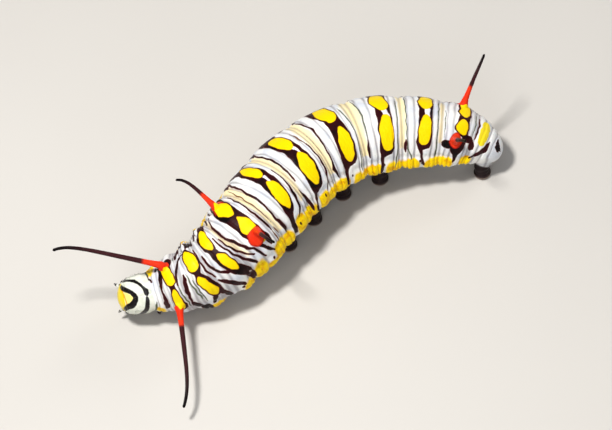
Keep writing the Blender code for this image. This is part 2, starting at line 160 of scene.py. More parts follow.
# Tentacles: segment, place along it (0 to 1), angle from the mid-back (negative is the larva's
# left), length, bearing and rise of its root, bearing and rise of its tip, root and tip radius,
# and how late it bends. Lengths are in millimetres.
TENTACLES = (
    ("tentacle_thorax_left", "thorax_2", 0.51, -45, 9.3, -90, -5, -127, -48, 0.24, 0.12, 6.5),
    ("tentacle_thorax_right", "thorax_2", 0.40, 43, 9.5, 168, 18, 204, 2, 0.24, 0.12, 8.0),
    ("tentacle_front_left", "abdomen_2", 0.53, -30, 4.3, -76, 42, -50, 20, 0.21, 0.10, 2.0),
    ("tentacle_front_right", "abdomen_2", 0.50, 42, 4.2, 137, 33, 191, 7, 0.21, 0.10, 4.7),
    ("tentacle_rear_left", "abdomen_8", 0.42, -40, 4.1, -82, 54, -60, 40, 0.21, 0.10, 2.0),
    ("tentacle_rear_right", "abdomen_8", 0.53, 38, 4.8, 41, 56, 61, 11, 0.21, 0.10, 2.1),
)
# Places of the root radius, tip radius and bend in a tentacle's row
WIDE, THIN, LATE = 9, 10, 11
LONG_TENTACLE = 8.0
RINGS_ON_LONG = 18
RINGS_ON_SHORT = 9
ROOT_BEND = 0.7
ROOT_SWELL = 0.16 * MM
ROOT_SWELL_WIDTH = 0.55 * MM
ROOT_LIFT = 0.06 * MM
ROOT_DEPTH = 0.8 * MM
TAPER = 0.8
TIP_START = 1.2
TIP_LENGTH = 1.25
TIP_LEAST = 0.0004
RINGS = 14
RING_SPACING = (0.10 * MM, 0.24 * MM)
RING_LEAN = 2
RING_DEPTH = 0.014
RING_FADE = 0.3 * MM
TENTACLE_STEP = 0.045 * MM
TENTACLE_SIDES = 44
TENTACLE_FLARE = 0.20 * MM
TENTACLE_FLARE_HEIGHT = 0.50 * MM

# Shape of the skin
NECK_SLANT = 0.6 * MM
NECK_DEPTH = 0.12
NECK_WIDTH = 0.36 * MM
BELLY_FLAT = 0.10
HEAD_ROUND = 1.4 * MM
TAIL_ROUND = 1.5 * MM
CREASE_DEPTH = 0.050
CREASE_WIDTH = 0.40 * MM
CREASE_FOLD = 0.030
CREASE_FOLD_WIDTH = 0.12 * MM
FOLD_ANGLE = 97.0
FOLD_WIDTH = 13.0
FOLD_RISE = 0.085
FOLD_EXTRA = 0.10 * MM
# Grooves over and under the fold: depth, share where there is no swelling, angle, width
FOLD_GROOVES = ((0.022, 0.3, 76.0, 5.0), (0.035, 0.4, 122.0, 7.0))
FOLD_FADE = (2 * MM, 1 * MM)
FURROW_DEPTH = 0.075 * MM
FURROW_WIDTH = 0.085 * MM
FURROW_HOLLOW = 0.030 * MM
FURROW_HOLLOW_WIDTH = 0.30 * MM
THORAX_FURROWS = (0.20, 0.36, 0.76, 0.90)
ABDOMEN_FURROWS = (0.15, 0.33, 0.77, 0.90)
TAIL_FURROWS = (0.45,)
FURROW_ON_BACK = 0.75
FURROW_ON_FLANK = 0.45
FURROW_LOW = 130
# Seeded unevenness: depth, size and seed
FURROW_WANDER = (0.045 * MM, 5 * MM, 3)
FURROW_UNEVEN = (0.22, 2.2 * MM, 4)
SKIN_LUMPS = (0.015 * MM, 1.5 * MM, 5)
SKIN_GRAIN = (0.005 * MM, 0.4 * MM, 6)
SKIN_WRINKLES = (0.006 * MM, 0.26 * MM, 7)
RIPPLE_WAVES = 26
RIPPLE_PACE = (0.7, 1.4)
WANDER_STRETCH = 0.5
WRINKLE_STRETCH = 3.0
WRINKLES_ON_BACK = 0.5
WRINKLES_BELOW = 1.5
PACKED_RANGE = (-0.3, 0.6)
PACKED_FURROWS = 1.2
# Plate over the tail: where it starts, length of its slope, rise, angle and width of its edge
PLATE = (0.3 * MM, 0.8 * MM, 0.05 * MM, 95, 12)
PLATE_GROOVE = (0.14 * MM, 104.0, 7.0)
# Yellow swellings of the lateral fold: segment, angles of top and bottom, shares of front and rear
FOLD_LOBES = (
    ("thorax_1", 47, 86, .2, .88), ("thorax_3", 82, 108, .15, .95), ("abdomen_1", 79, 108, .5, .95),
    ("abdomen_2", 66, 107, 0, .33), ("abdomen_2", 84, 108, .3, .65), ("abdomen_2", 69, 107, .58, 1.0),
    ("abdomen_3", 76, 107, -.03, .26), ("abdomen_3", 73, 107, .38, .75), ("abdomen_3", 77, 108, .66, 1.05),
    ("abdomen_4", 82, 109, -.02, .21), ("abdomen_4", 79, 109, .28, .66), ("abdomen_4", 81, 109, .6, 1.03),
    ("abdomen_5", 80, 109, -.02, .42), ("abdomen_5", 80, 109, .53, .82), ("abdomen_5", 82, 109, .76, 1.03),
    ("abdomen_6", 80, 109, -.02, .46), ("abdomen_6", 80, 109, .54, .84), ("abdomen_6", 82, 109, .78, 1.03),
    ("abdomen_7", 79, 109, -.04, .51), ("abdomen_7", 79, 108, .6, 1.07), ("abdomen_8", 77, 105, -.06, .52),
    ("abdomen_8", 74, 102, .74, 1.18),
)
# Breathing holes: on the first thorax segment and on eight of the abdomen
SPIRACLE_SEGMENTS = [NAMES.index(name) for name in ["thorax_1"] + ["abdomen_%d" % k for k in range(1, 9)]]
SPIRACLE_SHARE = 0.50
SPIRACLE_ANGLE = 84.0
SPIRACLE_HALF = (0.17 * MM, 0.10 * MM)
# Rim and hollow of a breathing hole: height, and place and width in half-widths
SPIRACLE_RIM = (0.035 * MM, 1.15, 0.4)
SPIRACLE_HOLLOW = (0.05 * MM, 0.7)
SPIRACLE_DARK = 0.75
# For the segments without a breathing hole
FAR_OFF = 99.0
SKIN_STEP = 0.052 * MM
SKIN_SIDES = 420


def neck_place(angle):
    """The neck slants: the head reaches furthest back on top, and least under the chin."""
    return EDGES[1] + NECK_SLANT * np.cos(np.radians(angle))


def signed(angle):
    """The same angle, from -180 to 180."""
    return (angle + 180) % 360 - 180


def folded(angle):
    """The angle from the mid-back, from 0 to 180, on whichever side it lies."""
    return np.abs(signed(angle))


def bell(offset, width):
    """A smooth bump: 1 in its middle, and low a width away."""
    return np.exp(-(offset / width) ** 2)


def ripples(place, angle, size, seed, stretch):
    """Smooth seeded waves over the skin, mostly from -1 to 1, of a given size."""
    rng = np.random.default_rng(seed)
    total = 0.0
    for _ in range(RIPPLE_WAVES):
        heading = rng.uniform(0, 2 * math.pi)
        pace = 2 * math.pi / size * rng.uniform(*RIPPLE_PACE)
        around = round(pace * math.sin(heading) * RADIUS.max() / stretch)
        phase = rng.uniform(0, 2 * math.pi)
        total = total + np.cos(pace * math.cos(heading) * place + around * np.radians(angle) + phase)
    return total / math.sqrt(RIPPLE_WAVES * 2)


def uneven(place, angle, kind, stretch=1.0):
    """Unevenness of one kind: its depth times seeded waves of its size."""
    depth, size, seed = kind
    return depth * ripples(place, angle, size, seed, stretch)


def segment_at(place, angle):
    """Which segment a place is in, and its share of the way along that segment."""
    index = np.clip(np.searchsorted(EDGES, place, side="right") - 1, 1, len(NAMES) - 1)
    start = np.where(index == 1, neck_place(angle), EDGES[index])
    share = (place - start) / (EDGES[index + 1] - start)
    return index, share


def squeeze(place, angle):
    """How far the bend of the body packs the skin together: above 0 on its inner side."""
    bend = np.gradient(TAILWARD, STEP, axis=0)
    inward = np.sum(along(bend, place) * out_direction(place, angle), axis=-1)
    return inward * np.interp(place, STATIONS, RADIUS)


def furrows_of(index):
    """Shares of a segment's length at which furrows ring it."""
    if NAMES[index] in ("abdomen_9", "abdomen_10", "thorax_1"):
        return TAIL_FURROWS
    return THORAX_FURROWS if NAMES[index].startswith("thorax") else ABDOMEN_FURROWS


def furrow_depth(place, angle, index, share):
    """Depth of the small furrows that ring each segment, which wander a little."""
    turn = folded(angle)
    wander = uneven(place, angle, FURROW_WANDER, WANDER_STRETCH)
    depth = np.zeros(np.broadcast(place, angle).shape)
    for k in range(1, len(NAMES)):
        here = index == k
        length = LENGTHS[k]
        for furrow in furrows_of(k):
            offset = (share - furrow) * length + wander
            sharp = FURROW_DEPTH * bell(offset, FURROW_WIDTH)
            wide = FURROW_HOLLOW * bell(offset, FURROW_HOLLOW_WIDTH)
            depth = depth + np.where(here, sharp + wide, 0.0)
    lateral = FURROW_ON_BACK + FURROW_ON_FLANK * np.sin(np.radians(np.clip(turn, 0, FURROW_LOW))) ** 2
    return depth * (1 + uneven(place, angle, FURROW_UNEVEN)) * lateral


def fold_rise(place, angle, size):
    """The lateral fold: swellings along each flank, with a groove over them and one under them."""
    turn = folded(angle)
    lobe = np.zeros(turn.shape)
    for segment, _, _, front, rear in FOLD_LOBES:
        middle = place_in(segment, (front + rear) / 2)
        half = (rear - front) / 2 * LENGTHS[NAMES.index(segment)] + FOLD_EXTRA
        lobe = np.maximum(lobe, np.sqrt(np.clip(1 - ((place - middle) / half) ** 2, 0, 1)))
    rise = FOLD_RISE * size * lobe * bell(turn - FOLD_ANGLE, FOLD_WIDTH)
    for depth, least, middle, width in FOLD_GROOVES:
        rise = rise - depth * size * (least + lobe) * bell(turn - middle, width)
    front, rear = FOLD_FADE
    return rise * (np.clip((place - EDGES[2]) / front, 0, 1) * np.clip((EDGES[-2] - place) / rear, 0, 1))


def spiracle_offsets(place, angle, index, share):
    """Distance from the middle of the breathing hole of each segment, in half-widths."""
    around = np.radians(folded(angle) - SPIRACLE_ANGLE) * np.interp(place, STATIONS, RADIUS)
    lengthwise = (share - SPIRACLE_SHARE) * LENGTHS[index]
    reach = np.hypot(around / SPIRACLE_HALF[0], lengthwise / SPIRACLE_HALF[1])
    return np.where(np.isin(index, SPIRACLE_SEGMENTS), reach, FAR_OFF)


def place_in(segment, share):
    """Distance along the body of a share of a segment's length."""
    index = NAMES.index(segment)
    return EDGES[index] + share * LENGTHS[index]


def hole_relief(reach):
    """The raised rim and the hollow of a breathing hole."""
    height, middle, width = SPIRACLE_RIM
    depth, hollow = SPIRACLE_HOLLOW
    return height * bell(reach - middle, width) - depth * bell(reach, hollow)


def root_swelling(place, angle):
    """The skin rises to the root of each tentacle."""
    rise = 0.0
    size = np.interp(place, STATIONS, RADIUS)
    for row in TENTACLES:
        around = np.radians(signed(angle - row[3])) * size
        distance = np.hypot(place - place_in(row[1], row[2]), around)
        rise = rise + ROOT_SWELL * bell(distance, ROOT_SWELL_WIDTH)
    return rise


def tail_shape(place, angle):
    """The plate over the end of the body, which overhangs the claspers under it."""
    turn = folded(angle)
    start, slope, rise, edge, edge_width = PLATE
    depth, middle, width = PLATE_GROOVE
    reach = np.clip((place - EDGES[-2] - start) / slope, 0, 1)
    plate = rise * np.clip((edge - turn) / edge_width, 0, 1)
    return reach * (plate - depth * bell(turn - middle, width))


def tail_share(place):
    """How far a place lies in the rounded end of the body, from 0 to 1."""
    return np.clip(1 - (BODY_LENGTH - place) / TAIL_ROUND, 0, 1)


def size_at(place):
    """Radius of the body without its relief, rounded at both ends."""
    front = np.clip(1 - place / HEAD_ROUND, 0, 1)
    return np.interp(place, STATIONS, RADIUS) * np.sqrt((1 - front ** 2) * (1 - tail_share(place) ** 2))


def slimmed(place, angle, turn):
    """Share of the radius that the flat belly and the neck leave."""
    belly = BELLY_FLAT * np.clip(-np.cos(np.radians(turn)), 0, 1) ** 2
    return 1 - belly - NECK_DEPTH * bell(place - neck_place(angle), NECK_WIDTH)


def skin_radius(place, angle):
    """Distance from the axis to the skin."""
    turn = folded(angle)
    index, share = segment_at(place, angle)
    front = 1 - tail_share(place)
    size = size_at(place)
    packed = np.clip(squeeze(place, angle), *PACKED_RANGE)
    nearest = np.min(np.abs(place[..., None] - EDGES[2:-1]), axis=-1)
    crease = CREASE_DEPTH * bell(nearest, CREASE_WIDTH) + CREASE_FOLD * bell(nearest, CREASE_FOLD_WIDTH)
    radius = size * (slimmed(place, angle, turn) - crease * (1 + packed))
    radius += fold_rise(place, angle, size)
    radius -= furrow_depth(place, angle, index, share) * (1 + PACKED_FURROWS * packed) * front
    radius += hole_relief(spiracle_offsets(place, angle, index, share))
    radius += uneven(place, angle, SKIN_LUMPS)
    radius += uneven(place, angle, SKIN_GRAIN) * (1 + packed)
    lower = WRINKLES_ON_BACK + np.clip(turn / 90, 0, WRINKLES_BELOW)
    radius += uneven(place, angle, SKIN_WRINKLES, WRINKLE_STRETCH) * (lower + np.clip(packed, 0, 1))
    return radius + (root_swelling(place, angle) + tail_shape(place, angle)) * front


def surface_point(radius, place, angle, lift):
    """A point on a surface with this radius, or that far outside it."""
    place, angle = np.broadcast_arrays(np.asarray(place, dtype=float), np.asarray(angle, dtype=float))
    return off_axis(place, angle, radius(place, angle) + lift)


def skin_point(place, angle, lift=0.0):
    """A point on the skin, or that far outside it."""
    return surface_point(skin_radius, place, angle, lift)


def add_object(name, points, faces, material=None):
    """A smooth mesh object from points and lists of faces of equal corner counts."""
    data = bpy.data.meshes.new(name)
    blocks = [np.asarray(block, dtype=np.int32) for block in faces if len(block)]
    corners = np.concatenate([block.ravel() for block in blocks])
    sizes = np.concatenate([np.full(len(block), block.shape[1], dtype=np.int32) for block in blocks])
    starts = np.concatenate([[0], np.cumsum(sizes)[:-1]]).astype(np.int32)
    data.vertices.add(len(points))
    data.vertices.foreach_set("co", np.asarray(points, dtype=np.float32).ravel())
    data.loops.add(len(corners))
    data.loops.foreach_set("vertex_index", corners)
    data.polygons.add(len(sizes))
    data.polygons.foreach_set("loop_start", starts)
    data.update(calc_edges=True)
    data.validate()
    data.shade_smooth()
    body = bpy.data.objects.new(name, data)
    bpy.context.scene.collection.objects.link(body)
    if material:
        data.materials.append(material)
    return body


def grid_shape(points, start, end):
    """Points and faces of a closed body through rows of rings, with a middle point at each end."""
    rows, sides, _ = points.shape
    corner = np.arange(rows * sides).reshape(rows, sides)
    after = np.roll(corner, -1, axis=1)
    quads = np.stack([corner[:-1], after[:-1], after[1:], corner[1:]], axis=-1).reshape(-1, 4)
    first = rows * sides
    front = np.stack([np.full(sides, first), after[0], corner[0]], axis=-1)
    rear = np.stack([np.full(sides, first + 1), corner[-1], after[-1]], axis=-1)
    everything = np.concatenate([points.reshape(-1, 3), [start], [end]])
    return everything, [quads, np.concatenate([front, rear])]


def turned_out(points, faces):
    """The same faces, wound so that they look outwards."""
    quads, ends = faces
    a, b, c, d = (points[quads[:, k]] for k in range(4))
    volume = np.sum(np.cross(a, b) * c) + np.sum(np.cross(a, c) * d)
    return faces if volume > 0 else [quads[:, ::-1], ends[:, ::-1]]


def ring_frame(directions, reference):
    """Two directions across each direction, lined up with a reference."""
    first = reference - directions * np.sum(directions * reference, axis=-1, keepdims=True)
    first /= np.linalg.norm(first, axis=-1, keepdims=True)
    return first, np.cross(directions, first)


def round_turns(sides):
    """Equal steps once round, in radians."""
    return np.arange(sides) * 2 * math.pi / sides


def tube_shape(centres, directions, radii, reference, sides):
    """A closed tube; radii is one value for each ring, or one for each point of each ring."""
    directions = np.broadcast_to(directions, centres.shape)
    first, second = ring_frame(directions, reference)
    turns = round_turns(sides)
    radii = np.asarray(radii, dtype=float)
    radii = radii if radii.ndim == 2 else radii[:, None] * np.ones(sides)
    across = np.cos(turns)[None, :, None] * first[:, None] + np.sin(turns)[None, :, None] * second[:, None]
    points = centres[:, None] + across * radii[..., None]
    points, faces = grid_shape(points, centres[0], centres[-1])
    return points, turned_out(points, faces)


def compass(bearing, rise):
    """The direction at a bearing in plan and a rise over the horizon, in degrees."""
    turn = np.radians(bearing)
    level = np.cos(np.radians(rise))
    return np.stack([level * np.cos(turn), level * np.sin(turn), np.sin(np.radians(rise))], axis=-1)


def tentacle_path(row):
    """Centres, directions and heights over the skin, from inside the body to the tip."""
    segment, share, angle, length, bearing_0, rise_0, bearing_1, rise_1 = row[1:WIDE]
    place = np.array(place_in(segment, share))
    out = out_direction(place, np.array(float(angle)))
    count = int(length * MM / TENTACLE_STEP)
    t = np.arange(1, count + 1) / count
    coarse = RINGS_ON_LONG if length > LONG_TENTACLE else RINGS_ON_SHORT
    bend = t ** row[LATE]
    heading = compass(bearing_0 + (bearing_1 - bearing_0) * bend, rise_0 + (rise_1 - rise_0) * bend)
    blend = np.clip(1 - t * coarse / ROOT_BEND, 0, 1)[:, None]
    direction = heading * (1 - blend) + out * blend
    direction /= np.linalg.norm(direction, axis=1)[:, None]
    root = skin_point(place, np.array(float(angle)))
    start = root + out * ROOT_LIFT
    outer = start + np.cumsum(direction, axis=0) * (length * MM / count)
    heights = np.arange(-ROOT_DEPTH, ROOT_LIFT, TENTACLE_STEP)
    centres = np.concatenate([root + out * heights[:, None], outer])
    directions = np.concatenate([np.repeat(out[None], len(heights), axis=0), direction])
    return centres, directions, np.concatenate([heights, ROOT_LIFT + t * length * MM])


def tentacle_shape(row, seed):
    """A fleshy feeler with fine rings, which widens into its root."""
    length, wide, thin = row[4] * MM, row[WIDE] * MM, row[THIN] * MM
    centres, directions, height = tentacle_path(row)
    t = np.clip((height - ROOT_LIFT) / length, 0, 1)
    radius = thin + (wide - thin) * (1 - t) ** TAPER
    radius += TENTACLE_FLARE * np.exp(-np.clip(height, 0, None) / TENTACLE_FLARE_HEIGHT)
    tip = np.clip((height - ROOT_LIFT - length + TIP_START * thin) / (TIP_LENGTH * thin), 0, 1)
    radius *= np.sqrt(np.clip(1 - tip ** 2, TIP_LEAST, 1))
    rng = np.random.default_rng(seed)
    turns = round_turns(TENTACLE_SIDES)
    ringed = np.zeros((len(height), TENTACLE_SIDES))
    for _ in range(RINGS):
        pace = 2 * math.pi / rng.uniform(*RING_SPACING)
        around = rng.integers(-RING_LEAN, RING_LEAN + 1)
        ringed += np.cos(pace * height[:, None] + around * turns[None] + rng.uniform(0, 2 * math.pi))
    place = np.array(place_in(row[1], row[2]))
    fade = np.clip(height[:, None] / RING_FADE, 0, 1)
    radii = radius[:, None] * (1 + RING_DEPTH * ringed / math.sqrt(RINGS / 2) * fade)
    return tube_shape(centres, directions, radii, along(TAILWARD, place), TENTACLE_SIDES)


# Prolegs: the fleshy feet of the third to sixth abdominal segments, and the claspers of the last
PROLEG_SEGMENTS = ("abdomen_3", "abdomen_4", "abdomen_5", "abdomen_6")
PROLEG_SHARE = 0.52
PROLEG_ANGLE = 155.0
PROLEG_RADIUS = 0.95 * MM
PROLEG_NECK = 0.60 * MM
PROLEG_SPREAD = 1.0 * MM
PROLEG_BEND = 0.35
FOOT_RADIUS = 0.74 * MM
FOOT_DEPTH = 0.35 * MM
ANAL_SHARE = 0.30
ANAL_ANGLE = 148.0
ANAL_RADIUS = 0.68 * MM
ANAL_NECK = 0.58 * MM
ANAL_REACH = 0.5 * MM
ANAL_BACK = 0.15 * MM
PROLEG_ROOT_DEPTH = 1.0 * MM
PROLEG_TAPER = 0.8
ROOT_FLARE = (0.30, 0.07)
FOOT_START = 0.80
FOOT_SPAN = 0.20
FOOT_SWELL = 1.5
SOLE_SHRINK = 0.20
# Folds round a proleg: depth, count and how they crowd; fine ones: depth, count and waviness;
# and how far both lean round it
PROLEG_FOLDS = (0.022, 2.7, 1.3)
PROLEG_WRINKLES = (0.007, 9, 1.5)
FOLD_LEAN = (0.16, 0.10)
PROLEG_SIDES = 90
PROLEG_STEP = 0.04 * MM


def bezier(points, t):
    """Points and directions along a smooth curve through four control points."""
    p0, p1, p2, p3 = [np.asarray(p, dtype=float) for p in points]
    t = np.asarray(t)[:, None]
    place = ((1 - t) ** 3) * p0 + 3 * t * (1 - t) ** 2 * p1 + 3 * t * t * (1 - t) * p2 + t ** 3 * p3
    slope = 3 * (1 - t) ** 2 * (p1 - p0) + 6 * t * (1 - t) * (p2 - p1) + 3 * t * t * (p3 - p2)
    return place, slope / np.linalg.norm(slope, axis=1)[:, None]


def proleg_rows():
    """Each proleg: name, place along the body, angle, foot on the floor, root and neck radius."""
    for segment in PROLEG_SEGMENTS:
        place = np.array(place_in(segment, PROLEG_SHARE))
        for side, word in SIDES:
            angle = np.array(side * PROLEG_ANGLE)
            foot = skin_point(place, angle, PROLEG_SPREAD)
            name = "proleg_" + segment[-1] + "_" + word
            yield name, place, angle, foot, PROLEG_RADIUS, PROLEG_NECK
    place = np.array(place_in("abdomen_10", ANAL_SHARE))
    for side, word in SIDES:
        angle = np.array(side * ANAL_ANGLE)
        foot = skin_point(place, angle, ANAL_REACH) + along(TAILWARD, place) * ANAL_BACK
        yield "proleg_anal_" + word, place, angle, foot, ANAL_RADIUS, ANAL_NECK


def proleg_path(row):
    """Centres, directions and shares of the way down, from inside the body to the sole."""
    place, angle, foot = row[1:4]
    root = skin_point(place, angle)
    out = out_direction(place, angle)
    ankle = np.array([foot[0], foot[1], FOOT_DEPTH])
    bend = (root[2] - FOOT_DEPTH) * PROLEG_BEND
    count = int((root[2] - FOOT_DEPTH) / PROLEG_STEP)
    t = np.arange(count + 1) / count
    centres, directions = bezier((root, root + out * bend, ankle - DOWN * bend, ankle), t)
    depth = np.arange(-PROLEG_ROOT_DEPTH, 0, PROLEG_STEP)
    sole = np.arange(1, int(FOOT_DEPTH / PROLEG_STEP) + 1) * PROLEG_STEP
    sole = np.append(sole[sole < FOOT_DEPTH - 0.5 * PROLEG_STEP], FOOT_DEPTH)
    centres = np.concatenate([root + out * depth[:, None], centres, ankle + DOWN * sole[:, None]])
    directions = np.concatenate([np.repeat(out[None], len(depth), axis=0), directions,
                                 np.repeat(DOWN[None], len(sole), axis=0)])
    share = np.concatenate([depth / (root[2] + TINY), t, 1 + sole / FOOT_DEPTH])
    return centres, directions, share


def proleg_profile(share, wide, neck, turns):
    """Radius down a proleg: a wide root, folds, a neck, and a broad soft foot."""
    t = np.clip(share, 0, 1)[:, None]
    sole = np.clip(share - 1, 0, 1)[:, None]
    radius = wide + (neck - wide) * t ** PROLEG_TAPER
    flare, flare_share = ROOT_FLARE
    radius = radius * (1 + flare * np.exp(-np.clip(share, 0, None) / flare_share)[:, None])
    foot = np.clip((t - FOOT_START) / FOOT_SPAN, 0, 1) ** FOOT_SWELL
    radius = radius + (FOOT_RADIUS - radius) * foot
    radius = radius * (1 - SOLE_SHRINK * sole ** 3)
    lean = FOLD_LEAN[0] * np.sin(turns)[None] + FOLD_LEAN[1] * np.sin(2 * turns + 1)[None]
    deep, count, crowd = PROLEG_FOLDS
    folds = deep * np.cos(2 * math.pi * (count * t ** crowd + lean)) * (1 - foot)
    fine, many, wave = PROLEG_WRINKLES
    folds = folds + fine * np.cos(2 * math.pi * many * (t + lean) + wave * np.sin(3 * turns)[None])
    return radius * (1 + folds * (share[:, None] > 0))


def proleg_shape(row):
    """A proleg with its soft foot, as points and faces."""
    centres, directions, share = proleg_path(row)
    radii = proleg_profile(share, row[4], row[5], round_turns(PROLEG_SIDES))
    return tube_shape(centres, directions, radii, along(TAILWARD, row[1]), PROLEG_SIDES)


# Front rim of the skin, which lies inside the head's rim
FRONT_TUCK = 0.40 * MM
TUCK_SHRINK = 0.10
TUCK_START = 0.02 * MM
TUCK_CURVE = 0.6
TAIL_ROWS = 40
TAIL_TURNS = (1.0, 88.0)


def trunk_shape():
    """The skin of the body, from inside the rim of the head to the tail."""
    straight = np.arange(EDGES[1] - FRONT_TUCK, BODY_LENGTH - TAIL_ROUND, SKIN_STEP)
    turns = np.radians(np.linspace(*TAIL_TURNS, TAIL_ROWS))
    base = np.concatenate([straight, BODY_LENGTH - TAIL_ROUND * (1 - np.sin(turns))])
    angle = np.arange(SKIN_SIDES) * 360.0 / SKIN_SIDES - 180.0
    slant = np.clip((EDGES[2] - base) / (EDGES[2] - EDGES[1]), 0, 1)
    place = base[:, None] + NECK_SLANT * np.cos(np.radians(angle))[None] * slant[:, None]
    angle = np.broadcast_to(angle[None], place.shape)
    tuck = np.clip((EDGES[1] + TUCK_START - base) / FRONT_TUCK, 0, 1)[:, None] ** TUCK_CURVE
    points = off_axis(place, angle, skin_radius(place, angle) * (1 - TUCK_SHRINK * tuck))
    start = along(AXIS, np.array(EDGES[1] - FRONT_TUCK))
    points, faces = grid_shape(points, start, along(AXIS, np.array(BODY_LENGTH)))
    return points, turned_out(points, faces)


def evaluated(body):
    """Apply a body's modifiers to its own mesh."""
    bpy.context.view_layer.update()
    graph = bpy.context.evaluated_depsgraph_get()
    data = bpy.data.meshes.new_from_object(body.evaluated_get(graph))
    body.modifiers.clear()
    old = body.data
    body.data = data
    bpy.data.meshes.remove(old)
    return body


def joined(name, shapes):
    """One closed mesh out of several closed shapes that cross each other."""
    body = add_object(name, *shapes[0])
    group = bpy.data.collections.new(name + "_pieces")
    bpy.context.scene.collection.children.link(group)
    for number, (points, faces) in enumerate(shapes[1:]):
        piece = add_object("%s_piece_%d" % (name, number), points, faces)
        bpy.context.scene.collection.objects.unlink(piece)
        group.objects.link(piece)
    union = body.modifiers.new("union", "BOOLEAN")
    union.operation = "UNION"
    union.operand_type = "COLLECTION"
    union.collection = group
    union.solver = "MANIFOLD"
    evaluated(body)
    for piece in list(group.objects):
        bpy.data.objects.remove(piece)
    bpy.data.collections.remove(group)
    body.data.shade_smooth()
    return body


# Search for the nearest place on the axis: every so many stations, points at a time, rounds
COARSE_STATIONS = 10
BLOCK = 50000
SEARCH_ROUNDS = 6
SEAM_ROUNDS = 14
SEAM_STEP = 0.6
SEAM_LEAST = 0.01


def mesh_points(data):
    """The places of a mesh's points."""
    points = np.empty(len(data.vertices) * 3)
    data.vertices.foreach_get("co", points)
    return points.reshape(-1, 3)


def body_coordinates(points):
    """For points near the body: place along it, angle from the mid-back, distance from the axis."""
    coarse = np.arange(0, len(STATIONS), COARSE_STATIONS)
    nearest = np.zeros(len(points), dtype=int)
    for start in range(0, len(points), BLOCK):
        block = points[start:start + BLOCK]
        gaps = np.linalg.norm(block[:, None] - AXIS[None, coarse], axis=2)
        nearest[start:start + BLOCK] = coarse[np.argmin(gaps, axis=1)]
    place = STATIONS[nearest]
    for _ in range(SEARCH_ROUNDS):
        away = points - along(AXIS, place)
        place = np.clip(place + np.sum(away * along(TAILWARD, place), axis=1), 0, BODY_LENGTH)
    away = points - along(AXIS, place)
    back = np.sum(away * along(BACKWARD, place), axis=1)
    right = np.sum(away * along(RIGHTWARD, place), axis=1)
    return place, np.degrees(np.arctan2(right, back)), np.hypot(right, back)


def tube_coordinates(points, centres, share, margin):
    """Which points lie near a tube's centre line, their distance from it and share along it."""
    low = centres.min(axis=0) - margin
    high = centres.max(axis=0) + margin
    near = np.nonzero(np.all((points > low) & (points < high), axis=1))[0]
    distance = np.full(len(near), np.inf)
    reach = np.zeros(len(near))
    for centre, value in zip(centres, share):
        gap = np.linalg.norm(points[near] - centre, axis=1)
        closer = gap < distance
        distance[closer] = gap[closer]
        reach[closer] = value
    return near, distance, reach


def smooth_seams(body, weight, rounds=SEAM_ROUNDS):
    """Even out a mesh where its weight is above 0, so that joined forms flow together."""
    data = body.data
    pairs = np.empty(len(data.edges) * 2, dtype=np.int64)
    data.edges.foreach_get("vertices", pairs)
    pairs = pairs.reshape(-1, 2)
    pairs = pairs[np.max(weight[pairs], axis=1) > SEAM_LEAST]
    points = mesh_points(data)
    count = len(points)
    degree = np.bincount(pairs.ravel(), minlength=count)
    share = np.where(degree > 0, weight, 0)[:, None] * SEAM_STEP
    for _ in range(rounds):
        total = np.zeros((count, 3))
        for k in range(3):
            total[:, k] = np.bincount(pairs[:, 0], points[pairs[:, 1], k], count)
            total[:, k] += np.bincount(pairs[:, 1], points[pairs[:, 0], k], count)
        mean = total / np.maximum(degree, 1)[:, None]
        points = points + (mean - points) * share
    data.vertices.foreach_set("co", points.astype(np.float32).ravel())
    data.update()


